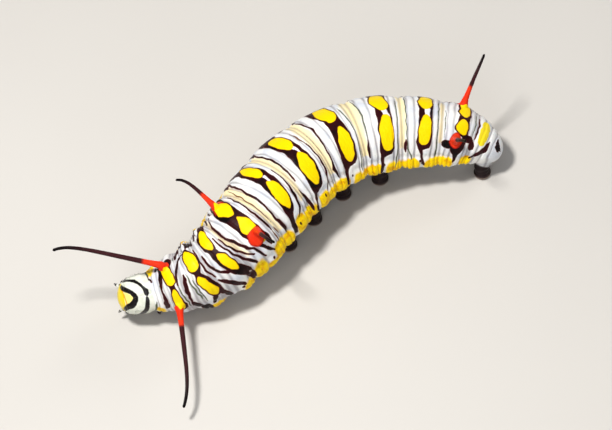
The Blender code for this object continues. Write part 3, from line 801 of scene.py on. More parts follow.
# Markings. Each is a segment and rows of an angle from the mid-back in degrees (negative is the
# larva's left, which the photo shows) and places as shares of the segment's length. A patch's row
# gives its front and rear edge; a line's row gives its middle, and its half-width in millimetres.
DARK_PATCHES = (
    ("thorax_2", ((-60, .55, .7), (-55, .44, .8), (-45, .395, .8), (-38, .39, .76), (-28, .39, .725),
        (-15, .41, .69), (-6, .46, .64), (0, .44, .66), (6, .345, .765), (20, .29, .745), (30, .26, .7),
        (38, .23, .68), (45, .22, .76), (50, .26, .78), (54, .5, .75))),
    ("thorax_3", ((-63, .8, .98), (-58, .68, 1.03), (-50, .615, 1.02), (-40, .555, .98),
        (-30, .485, .9), (-20, .425, .82), (-15, .43, .77), (-8, .47, .7), (-3, .47, .73),
        (3, .385, .82), (10, .33, .865), (20, .315, .85), (30, .295, .81), (38, .29, .73),
        (48, .45, .57))),
    ("thorax_3", ((-102, .3, .42), (-95, .22, .5), (-85, .18, .5), (-76, .13, .42), (-70, .04, .26),
        (-60, -.02, .18), (-50, 0, .08))),
    ("thorax_3", ((-80, .56, .64), (-70, .6, .76), (-58, .66, .84))),
    ("thorax_3", ((-95, 1.15, 1.2), (-88, 1.08, 1.2), (-80, 1.02, 1.18), (-70, .95, 1.11),
        (-60, .88, 1.02), (-53, .9, .97))),
    ("abdomen_1", ((-92, .93, 1), (-85, .86, 1.02), (-75, .8, 1), (-65, .72, .96), (-58, .62, .93),
        (-50, .51, .85), (-45, .45, .79), (-40, .4, .73), (-30, .355, .71), (-20, .29, .66),
        (-12, .27, .61), (-5, .26, .54), (0, .26, .52), (5, .25, .55), (12, .21, .565), (30, .185, .62),
        (38, .22, .68), (43, .32, .73), (53, .54, .86))),
    ("abdomen_2", ((-48, .36, .69), (-40, .31, .67), (-30, .29, .66), (-20, .26, .66), (-10, .27, .68),
        (10, .27, .68), (20, .235, .73), (30, .24, .75), (40, .3, .77), (50, .37, .83), (60, .48, .87),
        (66, .6, .8))),
    ("abdomen_2", ((-62, .6, .66), (-55, .58, .69), (-46, .56, .69))),
    ("abdomen_3", ((-98, .3, .34), (-95, .28, .36), (-85, .27, .38), (-75, .29, .4), (-68, .315, .41),
        (-62, .33, .44), (-58, .33, .53), (-52, .33, .6), (-43, .36, .66), (-33, .378, .707),
        (-22, .395, .75), (-15, .42, .77), (0, .458, .785), (10, .467, .8), (17, .455, .787),
        (30, .458, .76), (40, .484, .73), (51, .46, .72))),
    ("abdomen_4", ((-100, .16, .2), (-95, .145, .205), (-85, .18, .24), (-75, .215, .29),
        (-70, .22, .38), (-68, .225, .475), (-65, .225, .54), (-55, .23, .6), (-48, .25, .642),
        (-38, .285, .675), (-28, .3, .688), (-20, .317, .688), (-10, .34, .675), (0, .358, .66),
        (8, .344, .667), (18, .328, .655), (28, .342, .645), (38, .333, .6), (44, .33, .61))),
    ("abdomen_5", ((-96, .3, .35), (-90, .31, .37), (-80, .33, .39), (-70, .345, .42), (-67, .34, .47),
        (-64, .335, .63), (-60, .325, .7), (-50, .32, .76), (-40, .35, .77), (-30, .365, .78),
        (-20, .395, .77), (-10, .42, .74), (0, .42, .72), (10, .42, .705), (15, .385, .71),
        (22, .355, .715), (28, .335, .69), (35, .31, .665), (43, .31, .645), (54, .3, .68))),
    ("abdomen_6", ((-101, .37, .46), (-95, .38, .49), (-80, .41, .49), (-70, .41, .5), (-67, .41, .6),
        (-65, .405, .7), (-58, .4, .77), (-45, .43, .787), (-35, .445, .79), (-25, .435, .79),
        (-15, .46, .785), (0, .47, .765), (8, .46, .77), (14, .42, .77), (20, .385, .75),
        (30, .385, .72), (40, .42, .7), (51, .41, .74))),
    ("abdomen_7", ((-95, .56, .62), (-90, .54, .62), (-80, .52, .58), (-70, .486, .55), (-62, .44, .53),
        (-58, .41, .7), (-52, .385, .74), (-47, .37, .76), (-30, .405, .76), (-20, .42, .755),
        (0, .438, .75), (10, .438, .75), (18, .415, .76), (28, .405, .76), (35, .42, .755),
        (42, .45, .745), (54, .42, .74))),
    ("abdomen_8", ((-33, .56, .74), (-30, .5, .74), (-22, .37, .745), (-15, .375, .755),
        (-8, .42, .745), (0, .45, .725), (8, .45, .73), (15, .41, .75), (30, .42, .745),
        (40, .44, .725), (48, .47, .7), (55, .52, .64))),
    ("abdomen_8", ((-58, .16, .3), (-54, .04, .34), (-48, .02, .4), (-42, .1, .38))),
    ("abdomen_8", ((-86, .5, .55), (-80, .48, .57), (-70, .44, .6), (-64, .36, .68), (-54, .3, .74),
        (-46, .36, .76), (-38, .5, .74))),
    ("abdomen_8", ((-42, .66, .93), (-38, .62, .97), (-34, .62, .97), (-27, .72, .88))),
    ("abdomen_8", ((-58, .95, 1), (-53, .89, 1.06), (-44, .88, 1.05), (-36, .93, 1.0))),
)
DARK_LINES = (
    # Painted shade of the neck crease, on the far flank
    ("thorax_1", ((25, .6, .04), (45, .385, .07), (55, .2, .05))),
    ("thorax_2", ((-58, .02, .04), (-50, .06, .15), (-40, .095, .19), (-28, .12, .16), (-15, .12, .09),
        (0, .1, .06), (10, .13, .1), (15, .15, .16), (24, .17, .19), (30, .2, .16), (38, .22, .15),
        (53, .15, .04))),
    ("thorax_2", ((-62, .97, .05), (-50, .99, .06), (-36, .99, .08), (-22, 1.0, .13), (-12, 1.02, .14),
        (-2, 1.06, .13), (8, 1.09, .05))),
    ("thorax_2", ((-4, .775, .03), (6, .79, .06), (18, .85, .08), (28, .94, .09), (36, 1.03, .1),
        (41, 1.12, .1), (44, 1.24, .1), (46, 1.4, .1), (47, 1.52, .05))),
    ("thorax_3", ((-30, 1.03, .03), (-18, .94, .05), (-9, .895, .055), (0, .87, .05), (35, .89, .03))),
    ("abdomen_1", ((-38, .38, .09), (-28, .2, .06), (-20, .11, .055), (-10, .06, .05), (0, .03, .06),
        (12, .04, .03))),
    ("abdomen_1", ((-82, .58, .06), (-79, .55, .12), (-71, .45, .14), (-55, .28, .14), (-44, .14, .11),
        (-37, .05, .03))),
    ("abdomen_1", ((-65, 1.2, .05), (-60, 1.15, .09), (-50, 1.05, .09), (-43, .95, .08),
        (-32, .86, .07), (-20, .77, .05), (-10, .7, .05), (0, .667, .05), (15, .66, .03))),
    ("abdomen_1", ((-50, 1.26, .05), (-38, 1.08, .05), (-28, .97, .055), (-18, .89, .06),
        (-9, .82, .055), (8, .79, .03))),
    ("abdomen_2", ((-43, .26, .05), (-40, .218, .07), (-35, .147, .08), (-25, .097, .08),
        (-15, .057, .08), (-5, .006, .08), (0, -.03, .08), (20, -.03, .09), (32, 0, .07),
        (42, .07, .05), (47, .11, .03))),
    ("abdomen_2", ((-68, .36, .04), (-60, .32, .07), (-50, .28, .07), (-43, .26, .05))),
    ("abdomen_2", ((-77, .62, .04), (-72, .59, .07), (-64, .52, .09), (-58, .48, .1), (-45, .38, .14))),
    ("abdomen_2", ((-48, .83, .04), (-40, .83, .07), (-10, .83, .065), (0, .85, .06), (20, .87, .055),
        (40, .92, .03))),
    ("abdomen_3", ((-76, .12, .03), (-70, .125, .12), (-60, .125, .14), (-50, .11, .12),
        (-45, .09, .07), (-30, .12, .055), (-20, .14, .055), (-10, .16, .075), (10, .15, .075),
        (20, .19, .055), (40, .21, .07), (60, .3, .08), (66, .33, .04))),
    ("abdomen_3", ((-75, .56, .03), (-70, .635, .11), (-62, .7, .11), (-55, .742, .1),
        (-45, .787, .085), (-30, .84, .065), (-20, .875, .05), (0, .89, .035))),
    ("abdomen_4", ((-90, .05, .03), (-85, .05, .1), (-75, .042, .12), (-65, .017, .11), (-58, -.01, .1),
        (-48, -.02, .03))),
    ("abdomen_4", ((-35, .05, .03), (-25, .067, .05), (-15, .083, .065), (5, .1, .07), (12, .092, .065),
        (35, .075, .05), (42, .083, .055), (56, .15, .03))),
    ("abdomen_4", ((-80, .62, .03), (-72, .708, .075), (-63, .758, .085), (-55, .8, .085),
        (-45, .825, .075), (-38, .833, .065), (-20, .825, .05), (-8, .817, .03))),
    ("abdomen_5", ((-76, .12, .03), (-73, .11, .06), (-65, .08, .11), (-60, .06, .14), (-53, .07, .1),
        (-46, .09, .05), (-30, .106, .05), (-20, .12, .06), (-10, .13, .065), (0, .144, .075),
        (8, .155, .075), (15, .136, .07), (22, .114, .06), (38, .09, .05), (46, .09, .02))),
    ("abdomen_6", ((-66, .1, .03), (-62, .1, .1), (-53, .1, .13), (-46, .11, .09), (-38, .13, .03))),
    ("abdomen_7", ((-65, .07, .03), (-60, .067, .13), (-50, .067, .13), (-44, .08, .03))),
    ("abdomen_8", ((-30, 1, .02), (-15, 1.02, .05), (10, 1.02, .04), (25, 1, .02))),
    ("abdomen_9", ((-78, .15, .05), (-70, .4, .15), (-60, .7, .24), (-50, .95, .3), (-40, 1.05, .26),
        (-28, 1.1, .16), (-18, 1.15, .04))),
    ("abdomen_10", ((-34, .84, .06), (-24, .8, .2), (-6, .75, .22), (8, .68, .14), (18, .62, .05))),
)
FINE_LINES = (
    # Painted shadow under a fold of the skin
    ("thorax_2", ((-60, .88, .03), (-45, .87, .06), (-28, .82, .06), (-12, .775, .05), (0, .76, .03))),
    ("thorax_3", ((-52, .34, .03), (-42, .33, .07), (-28, .265, .07), (-12, .21, .06), (6, .19, .03))),
    # Painted shadow under a fold of the skin
    ("thorax_3", ((-62, .44, .03), (-50, .43, .05), (-30, .38, .05), (-10, .33, .04))),
    # Painted shade of the neck crease, on the near flank
    ("thorax_1", ((-85, .12, .04), (-80, .154, .09), (-60, .31, .1), (-50, .385, .1), (-40, .5, .08),
        (-30, .53, .03))),
    ("thorax_2", ((-8, .08, .03), (0, .07, .06), (10, .07, .06))),
    ("abdomen_2", ((-42, .96, .03), (-30, .985, .045), (10, 1.02, .045), (30, 1.05, .045),
        (47, 1.09, .03))),
    ("abdomen_2", ((-63, .94, .03), (-55, .93, .06), (-48, .93, .03))),
    ("abdomen_2", ((-72, .83, .04), (-60, .83, .07), (-48, .83, .03))),
    ("abdomen_3", ((-66, .42, .03), (-64, .43, .06), (-57, .5, .06), (-53, .53, .02))),
    ("abdomen_4", ((-14, .818, .04), (0, .8, .055), (12, .783, .055), (24, .78, .02))),
    ("abdomen_4", ((-34, .98, .02), (-20, .983, .04), (8, .983, .02))),
    ("abdomen_5", ((-84, .82, .03), (-78, .82, .07), (-60, .84, .06), (-30, .88, .055),
        (-20, .894, .055), (0, .856, .055), (20, .81, .055), (30, .8, .02))),
    ("abdomen_6", ((-44, .12, .03), (-25, .145, .05), (-10, .153, .06), (0, .17, .065), (15, .145, .06),
        (25, .11, .055), (45, .09, .02))),
    ("abdomen_6", ((-92, .8, .04), (-80, .82, .07), (-60, .87, .06), (-35, .87, .045), (-10, .9, .05),
        (20, .9, .05), (30, .9, .02))),
    ("abdomen_7", ((-80, .27, .04), (-78, .26, .08), (-60, .14, .08), (-45, .114, .045),
        (35, .114, .045), (44, .11, .02))),
    ("abdomen_7", ((-80, .88, .04), (-72, .895, .09), (-60, .895, .07), (-40, .895, .05),
        (30, .895, .045), (40, .89, .02))),
    ("abdomen_8", ((-40, .09, .02), (-20, .09, .045), (15, .09, .03))),
    ("abdomen_8", ((-27, .9, .03), (0, .92, .05), (27, .9, .03))),
    ("abdomen_9", ((-28, .04, .03), (0, .04, .06), (15, .04, .03))),
)
SPOTS = (
    ("thorax_2", ((-62, .5, .56), (-52, .46, .72), (-40, .42, .73), (-28, .42, .7), (-15, .44, .66),
        (-7, .52, .6))),
    ("thorax_2", ((0, .5, .6), (6, .38, .74), (20, .32, .72), (30, .29, .67), (40, .26, .58),
        (50, .3, .42))),
    ("thorax_3", ((-60, .78, .86), (-55, .7, .91), (-50, .65, .93), (-40, .585, .87), (-30, .515, .79),
        (-20, .455, .71), (-14, .47, .63), (-10, .52, .57))),
    ("thorax_3", ((0, .55, .66), (4, .42, .78), (10, .36, .83), (20, .345, .815), (30, .325, .77),
        (38, .33, .68), (44, .43, .55))),
    ("abdomen_1", ((-47, .63, .67), (-43, .56, .695), (-39, .49, .7), (-33, .435, .69), (-25, .39, .66),
        (-18, .36, .63), (-12, .365, .58), (-5, .43, .49))),
    ("abdomen_1", ((3, .4, .48), (9, .33, .53), (17, .265, .555), (25, .24, .585), (33, .275, .63),
        (39, .375, .66), (46, .52, .62))),
    ("abdomen_2", ((-28, .42, .6), (-22, .34, .65), (-15, .32, .66), (-8, .38, .64), (0, .47, .57),
        (4, .51, .53))),
    ("abdomen_2", ((-49, .5, .56), (-45, .45, .6), (-41, .48, .58))),
    ("abdomen_2", ((9, .51, .56), (15, .42, .63), (20, .37, .7), (30, .315, .71), (40, .4, .67),
        (48, .52, .6))),
    ("abdomen_3", ((-53, .46, .5), (-48, .43, .575), (-42, .405, .63), (-35, .4, .67), (-28, .4, .7),
        (-20, .435, .712), (-12, .505, .69), (-5, .58, .63))),
    ("abdomen_3", ((4, .6, .67), (7, .57, .72), (12, .55, .755), (20, .525, .765), (28, .515, .745),
        (35, .54, .725), (42, .575, .7), (49, .62, .66))),
    ("abdomen_4", ((-62, .4, .46), (-60, .37, .48), (-55, .345, .54), (-45, .322, .595),
        (-38, .315, .63), (-33, .317, .645), (-25, .355, .652), (-20, .412, .647), (-14, .47, .61),
        (-10, .53, .57))),
    ("abdomen_4", ((-1, .49, .56), (3, .45, .605), (8, .412, .64), (15, .378, .643), (25, .387, .633),
        (35, .405, .595), (41, .45, .54))),
    ("abdomen_5", ((-60, .5, .57), (-57, .465, .615), (-50, .43, .685), (-45, .415, .71),
        (-35, .415, .738), (-27, .435, .74), (-20, .49, .732), (-12, .525, .685), (-6, .59, .63))),
    ("abdomen_5", ((3, .52, .6), (6, .48, .645), (10, .47, .675), (15, .415, .695), (20, .385, .705),
        (25, .38, .685), (35, .405, .65), (45, .43, .625), (52, .48, .56))),
    ("abdomen_6", ((-59, .58, .68), (-55, .515, .74), (-45, .465, .765), (-35, .455, .783),
        (-25, .465, .783), (-18, .495, .77), (-8, .55, .74), (-3, .6, .7))),
    ("abdomen_6", ((4, .55, .64), (8, .495, .705), (12, .455, .742), (17, .42, .75), (22, .395, .725),
        (30, .405, .7), (40, .445, .675), (48, .5, .62))),
    ("abdomen_7", ((-52, .5, .63), (-48, .45, .68), (-43, .425, .71), (-35, .415, .725),
        (-25, .425, .729), (-15, .462, .729), (-8, .495, .71), (-3, .535, .68), (0, .58, .63))),
    ("abdomen_7", ((9, .56, .62), (12, .5, .68), (16, .46, .715), (20, .433, .738), (28, .425, .74),
        (35, .44, .738), (42, .47, .725), (48, .525, .705), (52, .58, .65))),
    ("abdomen_8", ((-30, .58, .66), (-27, .5, .7), (-22, .41, .715), (-15, .4, .725), (-8, .44, .715),
        (-3, .49, .69), (2, .55, .61))),
    ("abdomen_8", ((5, .55, .6), (8, .495, .65), (15, .445, .715), (22, .45, .725), (30, .455, .715),
        (40, .48, .695), (48, .515, .665), (53, .57, .62))),
    ("abdomen_9", ((-40, .45, .6), (-34, .27, .78), (-20, .2, .85), (-5, .2, .85), (10, .22, .82),
        (22, .28, .75), (32, .4, .6))),
)
RED_PATCHES = (
    ("abdomen_2", ((-48, .34, .5), (-43, .29, .63), (-36, .24, .66), (-30, .25, .66), (-26, .3, .64),
        (-22, .33, .36))),
    ("abdomen_2", ((34, .3, .34), (40, .35, .41), (50, .44, .62), (60, .55, .75), (64, .62, .74))),
    ("abdomen_2", ((35, .69, .72), (42, .66, .75), (50, .62, .76), (54, .66, .74))),
    ("abdomen_8", ((-57, .4, .5), (-52, .3, .6), (-45, .25, .64), (-38, .27, .62), (-31, .33, .55),
        (-27, .4, .5))),
    ("abdomen_8", ((34, .4, .5), (40, .36, .55), (46, .38, .6), (52, .45, .56))),
)
PALE_PATCHES = (
    ("abdomen_1", ((-72, .93, .96), (-68, .85, .95), (-64, .82, .87))),
    ("abdomen_2", ((-61, .52, .56), (-56, .49, .57), (-49, .5, .56))),
    ("abdomen_3", ((-10, .62, .67), (-6, .625, .685), (-2, .62, .69), (4, .6, .7))),
    ("abdomen_4", ((-16, .54, .6), (-11, .545, .6), (-6, .54, .605), (2, .5, .6))),
    ("abdomen_6", ((-8, .6, .76), (-3, .605, .735), (0, .6, .72), (7, .55, .71))),
    ("abdomen_7", ((-5, .57, .715), (0, .565, .69), (4, .56, .69), (12, .54, .71))),
)
CREAM_PATCHES = (
    ("abdomen_1", ((-45, 1.1, 1.22), (-30, .98, 1.12), (-15, .88, 1.04), (0, .8, .94), (20, .82, .94),
        (40, .9, 1.05), (60, 1, 1.15))),
    ("abdomen_2", ((-62, .95, 1.08), (-40, .9, 1.08), (0, .89, 1.15), (20, .9, 1.18), (45, .95, 1.22),
        (60, 1, 1.3))),
    ("abdomen_3", ((-60, .82, .98), (-40, .86, 1.02), (-20, .9, 1.05), (0, .92, 1.08), (30, .9, 1.06),
        (52, .9, 1.05))),
    ("abdomen_4", ((-65, .84, 1.04), (-40, .86, 1.08), (0, .84, 1.12), (30, .86, 1.08),
        (50, .88, 1.06))),
    ("abdomen_5", ((-62, .87, 1.06), (-20, .92, 1.1), (0, .89, 1.13), (20, .85, 1.1), (48, .88, 1.06))),
    ("abdomen_6", ((-60, .9, 1.04), (-20, .95, 1.09), (20, .95, 1.09), (48, .92, 1.05))),
    ("abdomen_7", ((-50, .93, 1.02), (20, .93, 1.02), (40, .94, 1))),
)
# Where the far flank takes over the marks of the near one: segment and share of it, angle on the
# near flank, angle on the far flank, and how far back they move, in millimetres
FAR_SIDE = (
    ("head", 0, 49, 49, 0), ("abdomen_1", 0.5, 48, 48, -0.1), ("abdomen_2", 0.5, 49, 49, 0),
    ("abdomen_3", 0.5, 53, 49, 0.42), ("abdomen_4", 0.5, 62, 42, 0.36), ("abdomen_5", 0.5, 60, 52, -0.1),
    ("abdomen_6", 0.5, 61, 49, 0), ("abdomen_7", 0.5, 54, 52, 0.1), ("abdomen_8", 0.4, 49, 49, 0),
)
FOLD_TOP = 102.0
ROUNDING = 0.045
LONG_WAY = 9.0
MARK_MARGIN = 1
# Roundness of the yellow lobes, and how uneven their edge is
LOBE_POWER = 2.6
LOBE_EDGE = (2.0, 1.6 * MM, 30)
# How uneven the edges of the other marks are, along the body in millimetres and round it in degrees
MARK_DRIFT = (0.035, 1.1 * MM, 20)
MARK_TURN = (0.8, 1.4 * MM, 21)
# Depth below which no shade is painted into a furrow or crease
CREASE_SHADE_LEAST = 0.25


def around_mm(place, degrees):
    """Millimetres round the body that so many degrees span."""
    return np.radians(degrees) * size_at(place * MM) / MM


def edge_gap(place, angle, turns, edge):
    """Distance behind a slanting edge, in millimetres."""
    slope = np.gradient(edge, around_mm(edge, turns))
    steep = np.interp(angle, turns, 1 / np.sqrt(1 + slope ** 2))
    return (place - np.interp(angle, turns, edge)) * steep


def soft_least(values):
    """The least of several distances, rounded where two are nearly alike."""
    total = sum(np.exp(-np.clip(value, -1, 1) / ROUNDING) for value in values)
    return -ROUNDING * np.log(total)


def patch(place, angle, rows):
    """How far inside a patch each point lies, in millimetres: above 0 within it."""
    turns, front, rear = rows
    ends = (around_mm(place, angle - turns[0]), around_mm(place, turns[-1] - angle))
    return soft_least((edge_gap(place, angle, turns, front), -edge_gap(place, angle, turns, rear)) + ends)


def line(place, angle, rows):
    """How far inside a line each point lies, in millimetres: above 0 within it."""
    turns, middles, halves = rows
    off = np.abs(edge_gap(place, angle, turns, middles))
    beyond = np.maximum(np.maximum(turns[0] - angle, angle - turns[-1]), 0)
    return np.interp(angle, turns, halves) - np.hypot(off, around_mm(place, beyond))


def deepest(place, angle, marks, form):
    """How far inside the nearest of several marks each point lies."""
    inside = np.full(place.shape, -LONG_WAY)
    for segment, rows in marks:
        index = NAMES.index(segment)
        rows = np.array(rows, dtype=float).T
        rows[1] = (EDGES[index] + rows[1] * LENGTHS[index]) / MM
        if form is patch:
            rows[2] = (EDGES[index] + rows[2] * LENGTHS[index]) / MM
        last = max(rows[1].max(), rows[2].max())
        near = (place > rows[1].min() - MARK_MARGIN) & (place < last + MARK_MARGIN)
        inside[near] = np.maximum(inside[near], form(place[near], angle[near], rows))
    return inside


def both_flanks(place, angle, marks, form):
    """The same, with the marks of the near flank also on the far one, which the photo hides."""
    here = deepest(place, angle, marks, form)
    places = [place_in(*row[:2]) / MM for row in FAR_SIDE]
    near, far, shift = np.array([row[2:] for row in FAR_SIDE], dtype=float).T
    near, far, shift = (np.interp(place, places, values) for values in (near, far, shift))
    way = np.clip((angle - far) / (FOLD_TOP - far), 0, 1)
    turn = np.where(angle > FOLD_TOP, angle, near + way * (FOLD_TOP - near))
    there = deepest(place - shift * (1 - way), -turn, marks, form)
    return np.maximum(here, np.minimum(there, around_mm(place, angle - far)))


def fold_marks(place, angle):
    """Yellow of the lateral fold, in rounded lobes."""
    inside = np.full(place.shape, -LONG_WAY)
    turn = folded(angle) + uneven(place * MM, angle, LOBE_EDGE)
    for segment, top, bottom, front, rear in FOLD_LOBES:
        half = (rear - front) / 2 * LENGTHS[NAMES.index(segment)] / MM
        high = around_mm(place, (bottom - top) / 2)
        across = (place - place_in(segment, (front + rear) / 2) / MM) / half
        round_it = (turn - (top + bottom) / 2) / (bottom - top) * 2
        reach = np.abs(across) ** LOBE_POWER + np.abs(round_it) ** LOBE_POWER
        inside = np.maximum(inside, (1 - reach ** (1 / LOBE_POWER)) * np.minimum(half, high))
    return inside


def breathing_holes(place, angle):
    """How far inside a breathing hole each point lies, in millimetres."""
    index, share = segment_at(place * MM, angle)
    reach = spiracle_offsets(place * MM, angle, index, share)
    return (SPIRACLE_DARK - reach) * SPIRACLE_HALF[1] / MM


def crease_shading(place, angle):
    """How deep in a furrow or crease the skin lies, from 0 to 1: how much grey shade is painted into it."""
    place = place * MM
    index, share = segment_at(place, angle)
    depth = furrow_depth(place, angle, index, share) / FURROW_DEPTH
    nearest = np.min(np.abs(place[:, None] - EDGES[2:-1]), axis=1)
    return np.clip(depth + bell(nearest, CREASE_FOLD_WIDTH) - CREASE_SHADE_LEAST, 0, 1)


def markings(place, angle):
    """All the marks of the trunk at places in millimetres: how far inside each mark a point is."""
    angle = signed(angle)
    local = place + uneven(place * MM, angle, MARK_DRIFT)
    turn = angle + uneven(place * MM, angle, MARK_TURN)
    dark = np.maximum(both_flanks(local, turn, DARK_PATCHES, patch),
                      both_flanks(local, turn, DARK_LINES, line))
    dark = np.minimum(dark, -deepest(local, turn, PALE_PATCHES, patch))
    return {"dark": np.maximum(dark, breathing_holes(place, angle)),
            "spot": deepest(local, turn, SPOTS, patch),
            "fine": both_flanks(local, turn, FINE_LINES, line),
            "stain": deepest(local, turn, RED_PATCHES, patch),
            "cream": both_flanks(local, turn, CREAM_PATCHES, patch),
            "fold": fold_marks(place, angle),
            # hollow: how much grey shade is painted into the furrows and creases
            "hollow": crease_shading(place, angle)}


# Red share of a tentacle's length, by its place, and half-width of the red round its root
RED_SHARE = {"thorax": 0.20, "front": 0.40, "rear": 0.38}
RED_CONE = 0.26
CONE_HEIGHT = 0.5
CONE_SLOPE = 0.4
# How fast the yellow of a spot narrows where it runs up a tentacle
TONGUE = 1.1
LONG_TONGUES = {"tentacle_thorax_left": 0.62, "tentacle_front_right": 0.75}
# How far from a limb's middle line its points are looked for
TENTACLE_NEAR = 1.2 * MM
PROLEG_NEAR = 1.5 * MM
# A point is on a limb within so many of its radii, and so far over the skin, in millimetres
ON_TENTACLE = (1.15, 0.04, 0.02)
ON_PROLEG = (1.35, 0.04)
# Width of the smoothed seam over the skin and round the limb, in millimetres
TENTACLE_SEAM = (0.30, 0.35)
PROLEG_SEAM = (0.35, 0.45)
PROLEG_SEAM_RADIUS = 1.1


def tentacle_fields(fields, row, points, place, angle, lift):
    """Red, dark and yellow of one tentacle, and the weight of the seam round its root."""
    centres, _, height = tentacle_path(row)
    length = row[4]
    near, gap, reach = tube_coordinates(points, centres, height / MM, TENTACLE_NEAR)
    t = np.clip(reach / length, 0, 1)
    wide = row[THIN] + (row[WIDE] - row[THIN]) * (1 - t) ** TAPER
    wide += TENTACLE_FLARE / MM * np.exp(-np.clip(reach, 0, None) * MM / TENTACLE_FLARE_HEIGHT)
    radii, more, least = ON_TENTACLE
    on_tube = (gap / MM < wide * radii + more) & (reach > least)
    share = RED_SHARE[row[0].split("_")[1]]
    at = place_in(row[1], row[2])
    around = np.radians(signed(angle[near] - row[3])) * np.interp(at, STATIONS, RADIUS)
    root_gap = np.hypot(place[near] - at, around) / MM
    cone = RED_CONE - root_gap + CONE_SLOPE * np.clip(lift[near], 0, 1)
    cone = np.where(lift[near] < CONE_HEIGHT, cone, -LONG_WAY)
    fields["limb"][near] = np.maximum(fields["limb"][near], np.where(on_tube, 1.0, cone))
    fields["tongue"][near] = LONG_TONGUES.get(row[0], TONGUE)
    fields["red"][near] = np.where(on_tube, (share - t) * length, fields["red"][near])
    fields["reach"][near] = np.where(on_tube, t, fields["reach"][near])
    high, beside = TENTACLE_SEAM
    return near, bell(lift[near], high) * bell(np.abs(gap / MM - wide), beside)


def proleg_fields(fields, row, points, lift):
    """Share of the way down one proleg, and the weight of the seam round its root."""
    centres, _, share = proleg_path(row)
    near, gap, reach = tube_coordinates(points, centres, share, PROLEG_NEAR)
    radii, least = ON_PROLEG
    on_tube = (lift[near] > least) & (gap < radii * row[4]) & (reach > 0.0)
    fields["foot"][near] = np.where(on_tube, reach, fields["foot"][near])
    high, beside = PROLEG_SEAM
    return near, bell(lift[near], high) * bell(np.abs(gap - row[4] * PROLEG_SEAM_RADIUS) / MM, beside)


def limb_fields(points, place, angle, distance):
    """Fields of the tentacles and prolegs, and the weight of the seams round their roots."""
    count = len(points)
    fields = {name: np.full(count, -LONG_WAY) for name in ("limb", "foot")}
    fields["reach"] = np.zeros(count)
    fields["red"] = np.ones(count)
    fields["tongue"] = np.full(count, TONGUE)
    seam = np.zeros(count)
    lift = (distance - skin_radius(place, angle)) / MM
    for row in TENTACLES:
        near, weight = tentacle_fields(fields, row, points, place, angle, lift)
        seam[near] = np.maximum(seam[near], weight)
    for row in proleg_rows():
        near, weight = proleg_fields(fields, row, points, lift)
        seam[near] = np.maximum(seam[near], weight)
    return fields, seam


def set_field(body, name, values):
    """Store one value for each point of a mesh, for its material to read."""
    layer = body.data.attributes.new(name, "FLOAT", "POINT")
    layer.data.foreach_set("value", np.asarray(values, dtype=np.float32))


TENTACLE_SEED = 40
LIMB_EDGE = 3
# Painted shade under the body: angle from the mid-back where it begins, and width of the change
UNDERSIDE_SHADE_EDGE = (112, 18)
# Where along the body the fine lines are green, and the spots pale: place and width of the change
GREEN_BEHIND = (20.5, 2.5)
GREEN_BEFORE = (8.8, 0.4)
PALE_BEHIND = (36.0, 0.3)


def past(value, limit):
    """How far a value is past a limit, from 0 to 1 over the width of the change."""
    start, width = limit
    return np.clip((value - start) / width, 0, 1)


def build_skin(material):
    """One skin for the body, the tentacles and the prolegs, with its marks as fields."""
    shapes = [trunk_shape()]
    shapes += [tentacle_shape(row, TENTACLE_SEED + number) for number, row in enumerate(TENTACLES)]
    shapes += [proleg_shape(row) for row in proleg_rows()]
    body = joined("skin", shapes)
    points = mesh_points(body.data)
    place, angle, distance = body_coordinates(points)
    _, seam = limb_fields(points, place, angle, distance)
    smooth_seams(body, seam)
    points = mesh_points(body.data)
    place, angle, distance = body_coordinates(points)
    fields, _ = limb_fields(points, place, angle, distance)
    fields.update(markings(place / MM, angle))
    lift = (distance - skin_radius(place, angle)) / MM
    tongue = fields.pop("tongue") * lift - fields["spot"]
    fields["limb"] = np.minimum(fields["limb"], tongue * LIMB_EDGE)
    # belly holds the mask of the shade painted over the underside
    fields["belly"] = past(folded(angle), UNDERSIDE_SHADE_EDGE)
    front, width = GREEN_BEFORE
    fields["tone"] = past(place / MM, GREEN_BEHIND) + np.clip((front - place / MM) / width, 0, 1)
    fields["behind"] = past(place / MM, PALE_BEHIND)
    for name, values in fields.items():
        set_field(body, name, values)
    body.data.materials.clear()
    body.data.materials.append(material)
    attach(body, "root")
    flesh = [name for name in NAMES if name != "head"]
    flesh += [row[0] for row in TENTACLES] + [row[0] for row in proleg_rows()]
    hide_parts(*flesh)
    return body


# Colours, as they look in daylight (0 to 255)
WHITE = (246, 245, 242)
COOL_WHITE = (219, 223, 231)
CREAM = (255, 237, 186)
YELLOW = (250, 217, 2)
ORANGE = (236, 160, 4)
PALE_YELLOW = (250, 224, 40)
FOLD_YELLOW = (255, 216, 0)
FOLD_SHADE = (226, 160, 4)
MAROON = (50, 9, 15)
NEAR_BLACK = (12, 5, 7)
REDDISH = (110, 38, 24)
BROWN = (110, 66, 44)
# Painted shade in the furrows and creases
CREASE_SHADE_GREY = (118, 108, 116)
GREY_GREEN = (92, 98, 78)
DEEP_RED = (150, 8, 10)
RED = (224, 26, 14)
ORANGE_RED = (240, 70, 30)
TENTACLE_DARK = (58, 24, 28)
TENTACLE_BLACK = (14, 6, 8)
# Painted shade under the body and head; the grey is also the antennae's random tone
SHADE_AND_FEELER_GREY = (176, 170, 168)
UNDERSIDE_SHADE_DARK = (66, 56, 60)
FOOT_DARK = (38, 26, 28)
FOOT_PALE = (150, 132, 122)


# Curve from daylight values to the shader's linear ones
DARK_LIMIT = 0.04045
DARK_DIVISOR = 12.92
CURVE_LIFT = 0.055
CURVE_POWER = 2.4
ROUGHNESS = {"larva_skin": 0.38, "larva_head": 0.3, "larva_mouth": 0.32, "larva_feeler": 0.3,
             "larva_leg": 0.28, "larva_hooks": 0.3, "larva_hair": 0.4, "larva_eye": 0.08, "studio_floor": 0.8}
# Sockets of the colours on a mix node
FIRST_COLOUR, SECOND_COLOUR = 6, 7


